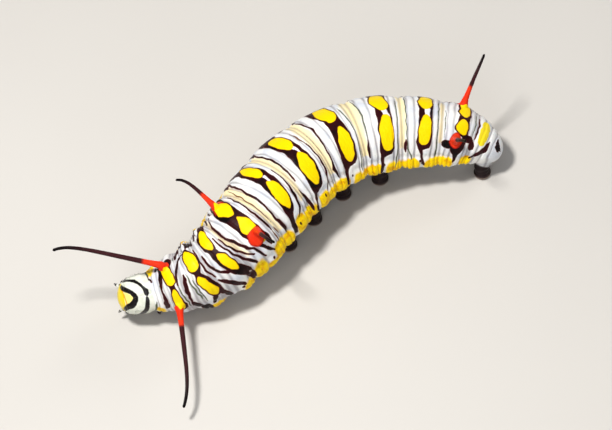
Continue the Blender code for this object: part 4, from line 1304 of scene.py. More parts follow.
def linear(colour):
    """A colour as the shader takes it."""
    parts = [value / 255 for value in colour]
    return tuple(c / DARK_DIVISOR if c <= DARK_LIMIT else ((c + CURVE_LIFT) / (1 + CURVE_LIFT)) ** CURVE_POWER
                 for c in parts) + (1.0,)


class Paint:
    """A material's node tree, with short ways to add what the surfaces here need."""

    def __init__(self, name):
        self.material = bpy.data.materials.new(name)
        self.material.use_nodes = True
        self.nodes = self.material.node_tree.nodes
        self.links = self.material.node_tree.links
        self.shader = self.nodes["Principled BSDF"]
        self.shader.inputs["Roughness"].default_value = ROUGHNESS[name]
        self.place = self.nodes.new("ShaderNodeTexCoord").outputs["Object"]

    def put(self, socket, value):
        """Link or set a socket; a colour is given as it looks in daylight."""
        if hasattr(value, "is_linked"):
            self.links.new(value, socket)
        else:
            socket.default_value = linear(value) if isinstance(value, tuple) else value

    def settings(self, values):
        """Set plain inputs of the shader by their names."""
        for name, value in values.items():
            self.shader.inputs[name].default_value = value

    def field(self, name):
        """A value stored for each point of the mesh."""
        node = self.nodes.new("ShaderNodeAttribute")
        node.attribute_name = name
        return node.outputs["Fac"]

    def noise(self, size, detail=2.0):
        """Noise from 0 to 1 whose lumps are about this large."""
        node = self.nodes.new("ShaderNodeTexNoise")
        self.links.new(self.place, node.inputs["Vector"])
        node.inputs["Scale"].default_value = 1 / size
        node.inputs["Detail"].default_value = detail
        return node.outputs["Fac"]

    def cells(self, size):
        """Distance from the middle of small cells of this size."""
        node = self.nodes.new("ShaderNodeTexVoronoi")
        self.links.new(self.place, node.inputs["Vector"])
        node.inputs["Scale"].default_value = 1 / size
        return node.outputs["Distance"]

    def math(self, operation, first, second):
        """One sum or product of two values."""
        node = self.nodes.new("ShaderNodeMath")
        node.operation = operation
        self.put(node.inputs[0], first)
        self.put(node.inputs[1], second)
        return node.outputs[0]

    def ramp(self, value, low, high, start=0.0, end=1.0):
        """A smooth step of a value from one level to another."""
        node = self.nodes.new("ShaderNodeMapRange")
        node.interpolation_type = "SMOOTHSTEP"
        for socket, amount in zip(range(5), (value, low, high, start, end)):
            self.put(node.inputs[socket], amount)
        return node.outputs[0]

    def mix(self, amount, first, second):
        """One colour where the amount is 0, another where it is 1."""
        node = self.nodes.new("ShaderNodeMix")
        node.data_type = "RGBA"
        self.put(node.inputs["Factor"], amount)
        self.put(node.inputs[FIRST_COLOUR], first)
        self.put(node.inputs[SECOND_COLOUR], second)
        return node.outputs[2]

    def tone(self, value, levels, first, second):
        """One colour that goes over into another between two levels of a value."""
        return self.mix(self.ramp(value, *levels), first, second)

    def wobble(self, noise, reach):
        """Noise made into an uneven shift of a mark's edge, in millimetres."""
        return self.math("MULTIPLY", self.math("SUBTRACT", noise, 0.5), reach)

    def edge(self, name, wobble, limits):
        """1 inside a mark and 0 outside it, with an edge that a wobble makes uneven."""
        soft, shift = limits
        value = self.math("ADD", self.field(name), wobble)
        return self.ramp(value, shift - soft, shift + soft)

    def cover(self, name, wobble, limits, under, over):
        """One colour laid over another inside a mark."""
        return self.mix(self.edge(name, wobble, limits), under, over)

    def bump(self, height, distance, before=None):
        """Small relief that only the shading shows."""
        node = self.nodes.new("ShaderNodeBump")
        node.inputs["Strength"].default_value = 1.0
        node.inputs["Distance"].default_value = distance
        self.links.new(height, node.inputs["Height"])
        if before:
            self.links.new(before, node.inputs["Normal"])
        return node.outputs["Normal"]

    def grain(self, cell, cell_depth, lump, detail, lump_depth):
        """Fine pebbles with softer lumps over them; sizes and depths in millimetres."""
        pebble = self.bump(self.cells(cell * MM), cell_depth * MM)
        height = self.noise(lump * MM, detail)
        self.put(self.shader.inputs["Normal"], self.bump(height, lump_depth * MM, pebble))

    def soft(self, weight, scale):
        """Let a little light into the surface, red the furthest."""
        self.settings({"Subsurface Weight": weight, "Subsurface Scale": scale,
                       "Subsurface Radius": LIGHT_REACH})

    def finished(self, colour):
        """The material in this colour."""
        self.put(self.shader.inputs["Base Color"], colour)
        return self.material


# How far light of each colour goes in, as shares of the scale
LIGHT_REACH = (1.0, 0.5, 0.3)
# Skin: sizes of its noise, and how far it moves the edges of marks, in millimetres
FINE_NOISE = 0.25 * MM
BROAD_NOISE = 1.6 * MM
FINE_WOBBLE = 0.045
BROAD_WOBBLE = 0.25
# Size and detail of the noise in the painted shade under the body
UNDERSIDE_SHADE_NOISE = (0.9 * MM, 3.0)
FOLD_NOISE = 0.6 * MM
SKIN_DETAIL = 3.0
SKIN_SHINE = 0.10
SKIN_ROUGHNESS = (0.34, 0.48)
SKIN_PEBBLES = (0.07, 0.006, 0.12, 4.0, 0.012)
SKIN_SOFT = (0.05, 0.25 * MM)
# Strength of the grey shade painted into the furrows and creases
HOLLOW_SHADE = 0.62
# Levels between which one tone goes over into another
WHITE_LEVELS = (0.35, 0.7)
CREAM_LEVELS = (0.1, 0.5, 0.75, 1.0)
UNDERSIDE_SHADE_LEVELS = (0.45, 0.62)
FOLD_LEVELS = (0.45, 0.75)
DARK_LEVELS = (0.4, 0.65)
REDDISH_LEVELS = (-0.03, 0.03)
SPOT_LEVELS = (-0.02, 0.07)
LIMB_LEVELS = (0.55, 0.95)
FOOT_LEVELS = (0.0, 0.16)
SOLE_LEVELS = (0.9, 1.3)
ROUGH_LEVELS = (0.2, 0.8)
# Edge of each mark: how soft it is, and how far inside the mark it lies, in millimetres
LIMITS = {"cream": (0.12, 0.0), "fold": (0.10, 0.0), "fine": (0.02, 0.0), "dark": (0.025, -0.03),
          "spot": (0.025, 0.0), "stain": (0.05, 0.0), "red": (0.18, 0.0), "limb": (0.06, 0.0)}
STAIN_CORE = (0.12, 0.08)


def band_colour(paint, colour, wobble, broad):
    """Dark bands and arcs, whose edge is reddish."""
    dark = paint.tone(broad, DARK_LEVELS, MAROON, NEAR_BLACK)
    inside = paint.math("ADD", paint.field("dark"), wobble)
    dark = paint.tone(inside, REDDISH_LEVELS, REDDISH, dark)
    return paint.cover("dark", wobble, LIMITS["dark"], colour, dark)


def spot_colour(paint, colour, wobble):
    """Yellow spots with an orange edge, paler on the last segments."""
    inside = paint.math("ADD", paint.field("spot"), wobble)
    spot = paint.tone(inside, SPOT_LEVELS, ORANGE, YELLOW)
    spot = paint.mix(paint.field("behind"), spot, PALE_YELLOW)
    return paint.cover("spot", wobble, LIMITS["spot"], colour, spot)


def limb_colour(paint, colour, wobble, broad, broad_wobble):
    """Red round the roots of the tentacles, their dark length, and the feet."""
    red = paint.mix(broad, RED, ORANGE_RED)
    stain = paint.cover("stain", wobble, STAIN_CORE, DEEP_RED, red)
    colour = paint.cover("stain", wobble, LIMITS["stain"], colour, stain)
    limb = paint.tone(paint.field("reach"), LIMB_LEVELS, TENTACLE_DARK, TENTACLE_BLACK)
    limb = paint.cover("red", broad_wobble, LIMITS["red"], limb, red)
    colour = paint.cover("limb", paint.math("ADD", wobble, broad_wobble), LIMITS["limb"], colour, limb)
    foot = paint.field("foot")
    return paint.tone(foot, FOOT_LEVELS, colour, paint.tone(foot, SOLE_LEVELS, FOOT_DARK, FOOT_PALE))


def skin_material():
    """White skin with cream, grey shade painted into its creases and under it, and all its marks in the order
    they cover each other.
    """
    paint = Paint("larva_skin")
    fine = paint.noise(FINE_NOISE, SKIN_DETAIL)
    broad = paint.noise(BROAD_NOISE)
    wobble = paint.wobble(fine, FINE_WOBBLE)
    broad_wobble = paint.wobble(broad, BROAD_WOBBLE)
    colour = paint.tone(broad, WHITE_LEVELS, WHITE, COOL_WHITE)
    cream = paint.math("MULTIPLY", paint.edge("cream", broad_wobble, LIMITS["cream"]),
                       paint.ramp(broad, *CREAM_LEVELS))
    colour = paint.mix(cream, colour, CREAM)
    # Painted shade: grey laid into the furrows and creases, as deep as they lie
    colour = paint.mix(paint.math("MULTIPLY", paint.field("hollow"), HOLLOW_SHADE), colour, CREASE_SHADE_GREY)
    # Painted shade: grey over the underside, darker in noisy patches
    belly = paint.tone(paint.noise(*UNDERSIDE_SHADE_NOISE), UNDERSIDE_SHADE_LEVELS, SHADE_AND_FEELER_GREY, UNDERSIDE_SHADE_DARK)
    colour = paint.mix(paint.field("belly"), colour, belly)
    fold = paint.tone(paint.noise(FOLD_NOISE), FOLD_LEVELS, FOLD_YELLOW, FOLD_SHADE)
    colour = paint.cover("fold", paint.math("ADD", wobble, broad_wobble), LIMITS["fold"], colour, fold)
    # Fine lines: real marks, and painted shadows of skin folds and of the neck crease
    thin = paint.mix(paint.field("tone"), BROWN, GREY_GREEN)
    colour = paint.cover("fine", wobble, LIMITS["fine"], colour, thin)
    colour = band_colour(paint, colour, wobble, broad)
    colour = spot_colour(paint, colour, wobble)
    colour = limb_colour(paint, colour, wobble, broad, broad_wobble)
    paint.put(paint.shader.inputs["Roughness"], paint.ramp(fine, *ROUGH_LEVELS, *SKIN_ROUGHNESS))
    paint.settings({"Specular IOR Level": SKIN_SHINE})
    paint.grain(*SKIN_PEBBLES)
    paint.soft(*SKIN_SOFT)
    return paint.finished(colour)


# Head: a hard shell over the front of the body
HEAD_MIDDLE = -4.0
HEAD_SIDES = 300
FACE_ROWS = 70
FACE_TURNS = (2.0, 90.0)
CAP_ROWS = 60
RIM_ROWS = 8
RIM_DEPTH = 0.12 * MM
LOBE_RISE = 0.030
LOBE_ANGLE = 42.0
LOBE_WIDTH = 24.0
VALLEY_DEPTH = 0.045
VALLEY_WIDTH = 13.0
SUTURE_DEPTH = 0.045 * MM
SUTURE_WIDTH = 0.045 * MM
CLYPEUS_PLACE = 0.68
EYE_RADIUS = 0.13 * MM
EYE_RING = 0.34 * MM
EYE_PLACE = (0.72 * MM, 112.0)
EYE_ARC = (-70, -18, 34, 86, 138)
EYE_INNER = (0.12 * MM, 0.25)
CHEEK_RADIUS = 1.28 * MM
CHEEK_RISE = 0.06 * MM
CHEEK_WIDTH = 0.5 * MM
HEAD_FADE = 0.8 * MM
# Lift of the head's rear edge over the skin, and its rounding
RIM_LIFT = 0.03 * MM
RIM_BULGE = 0.4
HEAD_GRAIN = (0.006 * MM, 0.5 * MM, 60)
# Ends of the sutures: blend at the tip of the face plate, and reach of the groove over the lip
APEX_BLEND = 0.1
LIP_GROOVE = (60, 15, 1.3)
# Edges of the black arch over the face: angle from the head's middle line, and place in
# millimetres from the tip of the face
ARCH_INNER = ((-56, -42, -30, -22, -17, -10, -4, 0, 4, 12, 19, 26, 32, 40, 56),
              (0.44, 0.50, 0.64, 0.81, 1.08, 1.35, 1.50, 1.55, 1.50, 1.35, 1.08, 0.81, 0.65, 0.53, 0.44))
ARCH_OUTER = ((-62, -52, -44, -38, -34, -31, -23, -11, -1, 9, 14, 19, 26, 32, 38, 45, 54, 62),
              (0.50, 0.60, 0.72, 0.85, 1.08, 1.35, 1.62, 1.89, 1.98, 1.89, 1.75, 1.62, 1.35, 1.08, 0.86,
               0.72, 0.60, 0.50))
# Lines on the head: angle from the mid-back, share of the head's length, half-width in millimetres
HEAD_LINES = (
    ("head", ((-112, .38, .13), (-100, .445, .14), (-80, .63, .145), (-58, .77, .145), (-50, .85, .145),
        (-40, .925, .145), (-30, .974, .15), (-20, 1.02, .14), (-12, 1.03, .09))),
    ("head", ((-4, 1.05, .1), (0, 1.055, .17), (10, 1.055, .17), (15, 1.02, .1), (20, .98, .085),
        (30, .89, .08), (40, .76, .08), (50, .62, .1), (60, .42, .1), (72, .3, .08), (96, .36, .12),
        (112, .4, .13))),
)
HEAD_FINE = (
    ("head", ((-42, .23, .02), (-25, .3, .05), (10, .25, .05), (30, .2, .05), (42, .19, .02))),
)
# Yellow plate over the mouth: top, half-width and foot, in millimetres from the tip of the face
FACE_YELLOW = 0.66
FACE_YELLOW_HALF = 0.50
FACE_YELLOW_FOOT = 0.34
CREAM_EDGE = 0.06
# Black round the eyes: radius, and how far behind their middle. Black under the chin: angle,
# place and least depth. Shade under the head: angle and place, each with its width.
EYE_BLACK_PATCH = (0.52, 0.05)
CHIN_BLACK = (148, 1.2, 0.1)
HEAD_SHADE = ((120, 25), (1.3, 0.4))


def head_radius(place, angle):
    """Distance from the axis to the head's shell: two lobes, sutures and cheeks."""
    turn = folded(angle - HEAD_MIDDLE)
    valley = VALLEY_DEPTH * bell(turn, VALLEY_WIDTH)
    lobe = LOBE_RISE * bell(turn - LOBE_ANGLE, LOBE_WIDTH)
    fade = np.clip(place / HEAD_FADE, 0, 1)
    radius = size_at(place) * (slimmed(place, angle, turn) + (lobe - valley) * fade)
    return radius - suture_depth(place, angle) + cheek_rise(place, angle)


def face_line(turns, places):
    """Points of a line on the face as it would lie flat: across and up from its tip."""
    turns = np.radians(turns)
    return np.stack([places * np.sin(turns), places * np.cos(turns)], axis=1)


def line_gap(spot, points):
    """Distance of points of the flat face from a line on it."""
    nearest = np.full(spot.shape[:-1], LONG_WAY)
    for start, end in zip(points[:-1], points[1:]):
        step = end - start
        share = np.clip((spot - start) @ step / (step @ step), 0, 1)
        nearest = np.minimum(nearest, np.linalg.norm(spot - start - share[..., None] * step, axis=-1))
    return nearest


def inside_outline(spot, points):
    """How far inside an outline points of the flat face lie: above 0 within it."""
    closed = np.concatenate([points, points[:1]])
    within = np.zeros(spot.shape[:-1], dtype=bool)
    for start, end in zip(closed[:-1], closed[1:]):
        spans = (start[1] > spot[..., 1]) != (end[1] > spot[..., 1])
        share = (spot[..., 1] - start[1]) / (end[1] - start[1] + TINY)
        within ^= spans & (spot[..., 0] < start[0] + share * (end[0] - start[0]))
    return line_gap(spot, closed) * np.where(within, 1.0, -1.0)


def flat_face(place, offset):
    """Points of the face as it would lie flat: across and up from its tip."""
    turn = np.radians(offset)
    return np.stack([place * np.sin(turn), place * np.cos(turn)], axis=-1)


def suture_depth(place, angle):
    """Grooves down the middle of the head, round the face plate and over the lip."""
    offset = signed(angle - HEAD_MIDDLE)
    local = place / MM
    apex = np.interp(0, *ARCH_INNER)
    middle = np.abs(around_mm(local, offset)) * MM
    crown = bell(middle, SUTURE_WIDTH) * np.clip((local - apex) / APEX_BLEND, 0, 1)
    sides = bell(line_gap(flat_face(local, offset), face_line(*ARCH_INNER)) * MM, SUTURE_WIDTH)
    edge, blend, wide = LIP_GROOVE
    lip = bell((local - CLYPEUS_PLACE) * MM, wide * SUTURE_WIDTH)
    lip = lip * np.clip((edge - np.abs(offset)) / blend, 0, 1)
    return SUTURE_DEPTH * np.maximum(np.maximum(crown, sides * (local < apex + APEX_BLEND)), lip)


def cheek_rise(place, angle):
    """A low swelling under the simple eyes."""
    turn = folded(angle)
    middle, side = EYE_PLACE
    distance = np.hypot(place - middle, np.radians(turn - side) * CHEEK_RADIUS)
    return CHEEK_RISE * bell(distance, CHEEK_WIDTH)


def head_point(place, angle, lift=0.0):
    """A point on the head's shell, or that far outside it."""
    return surface_point(head_radius, place, angle, lift)


def head_marks(place, angle):
    """All the marks of the head at places in millimetres."""
    turn = folded(angle)
    flat = flat_face(place, signed(angle - HEAD_MIDDLE))
    inner = face_line(*ARCH_INNER)
    arch = inside_outline(flat, np.concatenate([face_line(*ARCH_OUTER), inner[::-1]]))
    dark = np.maximum(arch, deepest(place, angle, HEAD_LINES, line))
    middle, side = EYE_PLACE
    radius, behind = EYE_BLACK_PATCH
    eyes = np.hypot(place - middle / MM - behind, np.radians(turn - side) * CHEEK_RADIUS / MM)
    chin_angle, chin_place, least = CHIN_BLACK
    chin = around_mm(place, turn - chin_angle) * np.clip(place, 0, 1) - least
    dark = np.maximum(np.maximum(dark, radius - eyes), np.minimum(chin, place - chin_place))
    fine = deepest(place, angle, HEAD_FINE, line)
    lower = soft_least((FACE_YELLOW - place, FACE_YELLOW_HALF - np.abs(flat[..., 0]),
                        flat[..., 1] + FACE_YELLOW_FOOT))
    cream = np.minimum(inside_outline(flat, inner), place - FACE_YELLOW)
    cream = np.clip(cream / CREAM_EDGE, 0, 1)
    shadow = past(turn, HEAD_SHADE[0]) * past(place, HEAD_SHADE[1])
    # The shade painted under the head goes in the belly field, as under the body
    return {"dark": dark, "spot": lower, "fine": fine, "cream": cream, "belly": shadow}


def build_head(material):
    """The head's shell, from the face to the rim over the front of the skin."""
    turns = np.radians(np.linspace(*FACE_TURNS, FACE_ROWS))
    angle = np.arange(HEAD_SIDES) * 360.0 / HEAD_SIDES - 180.0
    face = np.broadcast_to((HEAD_ROUND * (1 - np.cos(turns)))[:, None], (FACE_ROWS, HEAD_SIDES))
    share = np.arange(1, CAP_ROWS + 1)[:, None] / CAP_ROWS
    cap = HEAD_ROUND + share * (neck_place(angle)[None] - HEAD_ROUND)
    rim = np.broadcast_to(neck_place(angle)[None], (RIM_ROWS, HEAD_SIDES))
    curl = np.linspace(0, 1, RIM_ROWS + 1)[1:, None]
    place = np.concatenate([face, cap, rim + RIM_BULGE * RIM_DEPTH * np.sin(curl * math.pi)])
    angle = np.broadcast_to(angle[None], place.shape)
    reach = head_radius(place, angle)
    reach[:-RIM_ROWS] += RIM_LIFT * np.clip((place[:-RIM_ROWS] - HEAD_ROUND) / MM, 0, 1)
    reach[-RIM_ROWS:] += RIM_LIFT - RIM_DEPTH * (1 - np.cos(curl * math.pi)) / 2
    reach += uneven(place, angle, HEAD_GRAIN) * np.clip(place / MM, 0, 1)
    points = off_axis(place, angle, reach)
    points, faces = grid_shape(points, along(AXIS, np.array(0.0)), along(AXIS, np.array(EDGES[1])))
    head = add_object("head_shell", points, turned_out(points, faces), material)
    places = np.append(place.ravel(), [0.0, EDGES[1]]) / MM
    for name, values in head_marks(places, np.append(angle.ravel(), [0.0, 180.0])).items():
        set_field(head, name, values)
    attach(head, "root")
    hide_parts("head")


def eye_places(side):
    """Six simple eyes on each side: five on an arc and one inside it."""
    middle, angle = EYE_PLACE
    reach = math.degrees(EYE_RING / CHEEK_RADIUS)
    for turn in np.radians(EYE_ARC):
        yield middle - EYE_RING * math.cos(turn), side * (angle + reach * math.sin(turn))
    further, lower = EYE_INNER
    yield middle + further, side * (angle + lower * reach)


def lump_shape(centre, axes, halves, rows, sides, shape=None):
    """A closed rounded form; shape may push its points along its own three axes."""
    polar = (np.arange(1, rows) * math.pi / rows)[:, None]
    turns = round_turns(sides)[None]
    local = np.stack([np.sin(polar) * np.cos(turns), np.sin(polar) * np.sin(turns),
                      np.cos(polar) * np.ones_like(turns)], axis=-1)
    poles = np.array([[0.0, 0.0, 1.0], [0.0, 0.0, -1.0]])
    if shape:
        local = shape(local)
        poles = shape(poles)
    points = centre + (local * halves) @ axes
    ends = centre + (poles * halves) @ axes
    points, faces = grid_shape(points, ends[0], ends[1])
    return points, turned_out(points, faces)


PROBE_TURN = 8.0
PROBE_STEP = 0.03 * MM
EYE_SUNK = 0.03 * MM
EYE_GRID = (16, 24)


def head_axes(place, angle):
    """Directions round the head, along it and out of it at one of its points."""
    around = head_point(place, angle + PROBE_TURN) - head_point(place, angle - PROBE_TURN)
    around /= np.linalg.norm(around)
    lengthwise = head_point(place + PROBE_STEP, angle) - head_point(place - PROBE_STEP, angle)
    lengthwise -= around * np.dot(around, lengthwise)
    lengthwise /= np.linalg.norm(lengthwise)
    return np.array([around, lengthwise, np.cross(around, lengthwise)])


def merged(shapes):
    """Several closed shapes as the points and faces of one mesh."""
    points = np.concatenate([shape[0] for shape in shapes])
    starts = np.concatenate([[0], np.cumsum([len(shape[0]) for shape in shapes])[:-1]])
    quads = np.concatenate([shape[1][0] + start for shape, start in zip(shapes, starts)])
    ends = np.concatenate([shape[1][1] + start for shape, start in zip(shapes, starts)])
    return points, [quads, ends]


def build_eyes(material):
    """The simple eyes of each side, as one piece."""
    for side, word in SIDES:
        shapes = []
        for place, angle in eye_places(side):
            out = out_direction(np.array(place), np.array(angle))
            centre = head_point(place, angle) - EYE_SUNK * out
            shapes.append(lump_shape(centre, head_axes(place, angle), np.ones(3) * EYE_RADIUS, *EYE_GRID))
        eyes = add_object("eyes_" + word, *merged(shapes), material)
        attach(eyes, "root")


# Mouthparts: name, place in millimetres, angle, height of the middle over the head, then half
# sizes across, down and through, all in millimetres
MOUTH_FORMS = (
    ("middle", 0.56, 180, 0.06, 0.48, 0.44, 0.30),
    ("upper_lip", 0.32, 180, 0.14, 0.48, 0.20, 0.26),
    ("jaw_left", 0.58, -160, 0.20, 0.28, 0.25, 0.38),
    ("jaw_right", 0.58, 160, 0.20, 0.28, 0.25, 0.38),
    ("lower_lip", 0.98, 180, 0.12, 0.28, 0.20, 0.34),
    ("spinneret", 0.94, 180, 0.44, 0.08, 0.08, 0.24),
    ("cheek_left", 0.92, -162, 0.12, 0.24, 0.20, 0.34),
    ("cheek_right", 0.92, 162, 0.12, 0.24, 0.20, 0.34),
    ("feeler_left", 0.90, -163, 0.44, 0.09, 0.09, 0.26),
    ("feeler_right", 0.90, 163, 0.44, 0.09, 0.09, 0.26),
)
DARK_FORMS = ("middle", "jaw_left", "jaw_right")
FEELER_DARK = 0.14
MOUTH_GRID = (30, 44)
MOUTH_EVEN = 0.5
MOUTH_ROUNDS = 3
MOUTH_DARK_SCALE = 0.3
LIP_NOTCH = (0.30, 0.22)
JAW_THIN = 0.45
JAW_TEETH = (0.10, 9)
FEELER_THIN = 0.30
FEELER_JOINTS = (0.12, 7.5)


def lip_form(local):
    """A wide flap with a notch in its middle."""
    out = local.copy()
    depth, width = LIP_NOTCH
    out[..., 2] = local[..., 2] * (1 - depth * np.exp(-(local[..., 0] / width) ** 2))
    return out


def jaw_form(local):
    """A blunt chewing edge with small teeth."""
    out = local.copy()
    depth, count = JAW_TEETH
    reach = np.clip(local[..., 2], 0, 1)
    out[..., 1] = local[..., 1] * (1 - JAW_THIN * reach)
    out[..., 2] = local[..., 2] * (1 + depth * np.cos(count * local[..., 0]) * reach ** 2)
    return out


def feeler_form(local):
    """A feeler of three short joints."""
    out = local.copy()
    depth, count = FEELER_JOINTS
    step = 1 - FEELER_THIN * np.clip(local[..., 2], 0, 1) + depth * np.cos(count * local[..., 2])
    out[..., 0] = local[..., 0] * step
    out[..., 1] = local[..., 1] * step
    return out


FORMS = {"upper": lip_form, "jaw": jaw_form, "feeler": feeler_form, "spinneret": feeler_form}


def mouth_rows():
    """Each form of the mouth: its name, centre, axes and half sizes."""
    for name, place, angle, height, across, down, through in MOUTH_FORMS:
        centre = head_point(place * MM, angle, height * MM)
        yield name, centre, head_axes(place * MM, angle), np.array([across, down, through]) * MM


def mouth_dark(points):
    """How dark each point of the mouth is: the jaws, and the tips of the feelers."""
    reaches = {True: [], False: []}
    tips = []
    for name, centre, axes, halves in mouth_rows():
        reaches[name in DARK_FORMS].append(np.linalg.norm((points - centre) @ axes.T / halves, axis=1))
        if FORMS.get(name.split("_")[0]) is feeler_form:
            tips.append(centre + axes[2] * halves[2])
    dark = (np.min(reaches[False], axis=0) - np.min(reaches[True], axis=0)) * MOUTH_DARK_SCALE
    for tip in tips:
        dark = np.maximum(dark, FEELER_DARK - np.linalg.norm(points - tip, axis=1) / MM)
    return dark


def build_mouth(material):
    """Lips, jaws, spinneret and small feelers, joined into one soft-edged piece."""
    shapes = [lump_shape(centre, axes, halves, *MOUTH_GRID, FORMS.get(name.split("_")[0]))
              for name, centre, axes, halves in mouth_rows()]
    mouth = joined("mouth", shapes)
    points = mesh_points(mouth.data)
    smooth_seams(mouth, np.full(len(points), MOUTH_EVEN), MOUTH_ROUNDS)
    set_field(mouth, "dark", mouth_dark(points))
    mouth.data.materials.clear()
    mouth.data.materials.append(material)
    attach(mouth, "root")
    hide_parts("mouthparts")


ANTENNA_PLACE = (0.36 * MM, 126.0)
ANTENNA_LENGTH = 0.50 * MM
ANTENNA_RADIUS = 0.17 * MM
ANTENNA_FORWARD = 1.0
ANTENNA_START = -0.3
ANTENNA_LIFT = 0.2 * MM
ANTENNA_ROWS = 60
ANTENNA_SIDES = 32
# Dark joints of an antenna: where it turns dark and pale, and how wide a pale ring is
ANTENNA_RINGS = (0.34, 0.70)
ANTENNA_RING_WIDTH = 0.06
ANTENNA_DARK_START = 0.30
# Joints of an antenna: share of its length, share of its radius
ANTENNA_PROFILE = ((-0.3, 0.30, 0.33, 0.36, 0.66, 0.69, 0.72, 0.93, 1.0),
                   (1.0, 0.95, 0.78, 0.72, 0.68, 0.52, 0.46, 0.40, 0.05))


def build_antennae(material):
    """The two short antennae beside the mouth, each of three joints."""
    place, angle = ANTENNA_PLACE
    for side, word in SIDES:
        root = head_point(place, side * angle)
        out = out_direction(np.array(place), np.array(side * angle))
        forward = out * ANTENNA_FORWARD - along(TAILWARD, np.array(place))
        forward /= np.linalg.norm(forward)
        share = np.linspace(ANTENNA_START, 1.0, ANTENNA_ROWS)
        radii = np.interp(share, *ANTENNA_PROFILE) * ANTENNA_RADIUS
        centres = root + forward * (share * ANTENNA_LENGTH + ANTENNA_LIFT)[:, None]
        reference = along(TAILWARD, np.array(1.0 * MM))
        points, faces = tube_shape(centres, forward, radii, reference, ANTENNA_SIDES)
        antenna = add_object("feeler_" + word, points, faces, material)
        value = np.append(np.repeat(share, ANTENNA_SIDES), [share[0], share[-1]])
        rings = np.min([np.abs(value - ring) for ring in ANTENNA_RINGS], axis=0) - ANTENNA_RING_WIDTH
        set_field(antenna, "dark", rings * np.where(value < ANTENNA_DARK_START, -1.0, 1.0))
        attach(antenna, "root")
        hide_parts("antenna_" + word)


# Front legs: four joints and a claw, each a share of the way down with its radius
LEG_SHARE = 0.55
LEG_ANGLE = 152.0
LEG_REACH = {"left": 0.9 * MM, "right": 0.75 * MM}
LEG_FORWARD = 0.5 * MM
LEG_KNEE = 0.7 * MM
LEG_ANKLE = 0.8 * MM
LEG_SIDES = 40
LEG_ROWS = 130
LEG_PROFILE = ((0.0, 0.16, 0.22, 0.26, 0.34, 0.46, 0.50, 0.54, 0.62, 0.70, 0.74, 0.78, 0.86, 0.90, 0.95,
                1.0),
               (0.46, 0.46, 0.38, 0.32, 0.37, 0.34, 0.27, 0.24, 0.27, 0.23, 0.19, 0.17, 0.17, 0.12, 0.07,
                0.02))
LEG_RINGS = (0.25, 0.53, 0.77)
LEG_RING_WIDTH = 0.035
LEG_RING_EDGE = 3.0
LEG_FLAT = 0.05
LEG_FLOOR = 0.02 * MM
LEG_ROOT_DEPTH = 0.25 * MM
CLAW_START = 0.88
CLAW_SPAN = 0.12
CLAW_CURL = 0.12


def leg_path(place, side, word, t):
    """Centres and directions of a front leg, from inside the body to its claw on the floor."""
    angle = np.array(side * LEG_ANGLE)
    across = np.array([0.0, side, 0.0]) * LEG_REACH[word]
    foot = skin_point(place, angle) + across - along(TAILWARD, place) * LEG_FORWARD
    foot[2] = LEG_FLOOR
    out = out_direction(place, angle)
    root = skin_point(place, angle) - out * LEG_ROOT_DEPTH
    ankle = np.array([foot[0], foot[1], LEG_ANKLE])
    centres, directions = bezier((root, root + out * (LEG_KNEE + LEG_ROOT_DEPTH), ankle, foot), t)
    claw = np.clip((t - CLAW_START) / CLAW_SPAN, 0, 1)[:, None] ** 2
    centres = centres + along(TAILWARD, place) * claw * CLAW_CURL * MM
    centres[:, 2] = np.maximum(centres[:, 2], LEG_FLOOR)
    return centres, directions


def build_legs(material):
    """The six jointed legs of the thorax, with pale rings at their joints."""
    t = np.linspace(0, 1, LEG_ROWS)
    radii = np.interp(t, *LEG_PROFILE)[:, None] * MM * np.ones(LEG_SIDES)
    radii = radii * (1 + LEG_FLAT * np.cos(2 * round_turns(LEG_SIDES))[None])
    value = np.append(np.repeat(t, LEG_SIDES), [0.0, 1.0])
    gap = np.min(np.abs(value[:, None] - np.array(LEG_RINGS)), axis=1)
    for segment in ("thorax_1", "thorax_2", "thorax_3"):
        place = np.array(place_in(segment, LEG_SHARE))
        for side, word in SIDES:
            centres, directions = leg_path(place, side, word, t)
            points, faces = tube_shape(centres, directions, radii, along(TAILWARD, place), LEG_SIDES)
            points[:, 2] = np.maximum(points[:, 2], 0.0)
            leg = add_object("front_%s_%s" % (segment, word), points, faces, material)
            set_field(leg, "joint", (LEG_RING_WIDTH - gap) * LEG_RING_EDGE)
            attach(leg, "root")
            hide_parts("leg_%s_%s" % (segment[-1], word))


HOOK_COUNT = 34
HOOK_SPAN = 200.0
HOOK_RADIUS = 0.022 * MM
HOOK_LENGTH = 0.17 * MM
HOOK_RING = 0.60 * MM
HOOK_HEIGHT = 0.05 * MM
HOOK_INSET = 0.08 * MM
HOOK_SHORT = 0.7
HOOK_SIDES = 8
HOOK_ROWS = 7
# Thickness of a hook from its root to its tip, and how far out its curve's control points lie
HOOK_TAPER = ((0, 0.5, 1), (1.0, 0.8, 0.15))
HOOK_CURVE = (0.5, 1.0, 0.8)


def hook_shape(root, outward, length):
    """A small hook that curves down and out from the edge of a sole."""
    t = np.linspace(0, 1, HOOK_ROWS)
    first, second, third = (root + outward * length * reach for reach in HOOK_CURVE)
    centres, directions = bezier((root, first, second, third + DOWN * HOOK_HEIGHT), t)
    centres[:, 2] = np.maximum(centres[:, 2], HOOK_RADIUS)
    radii = HOOK_RADIUS * np.interp(t, *HOOK_TAPER)
    side = np.array([-outward[1], outward[0], 0.0])
    return tube_shape(centres, directions, radii, side, HOOK_SIDES)


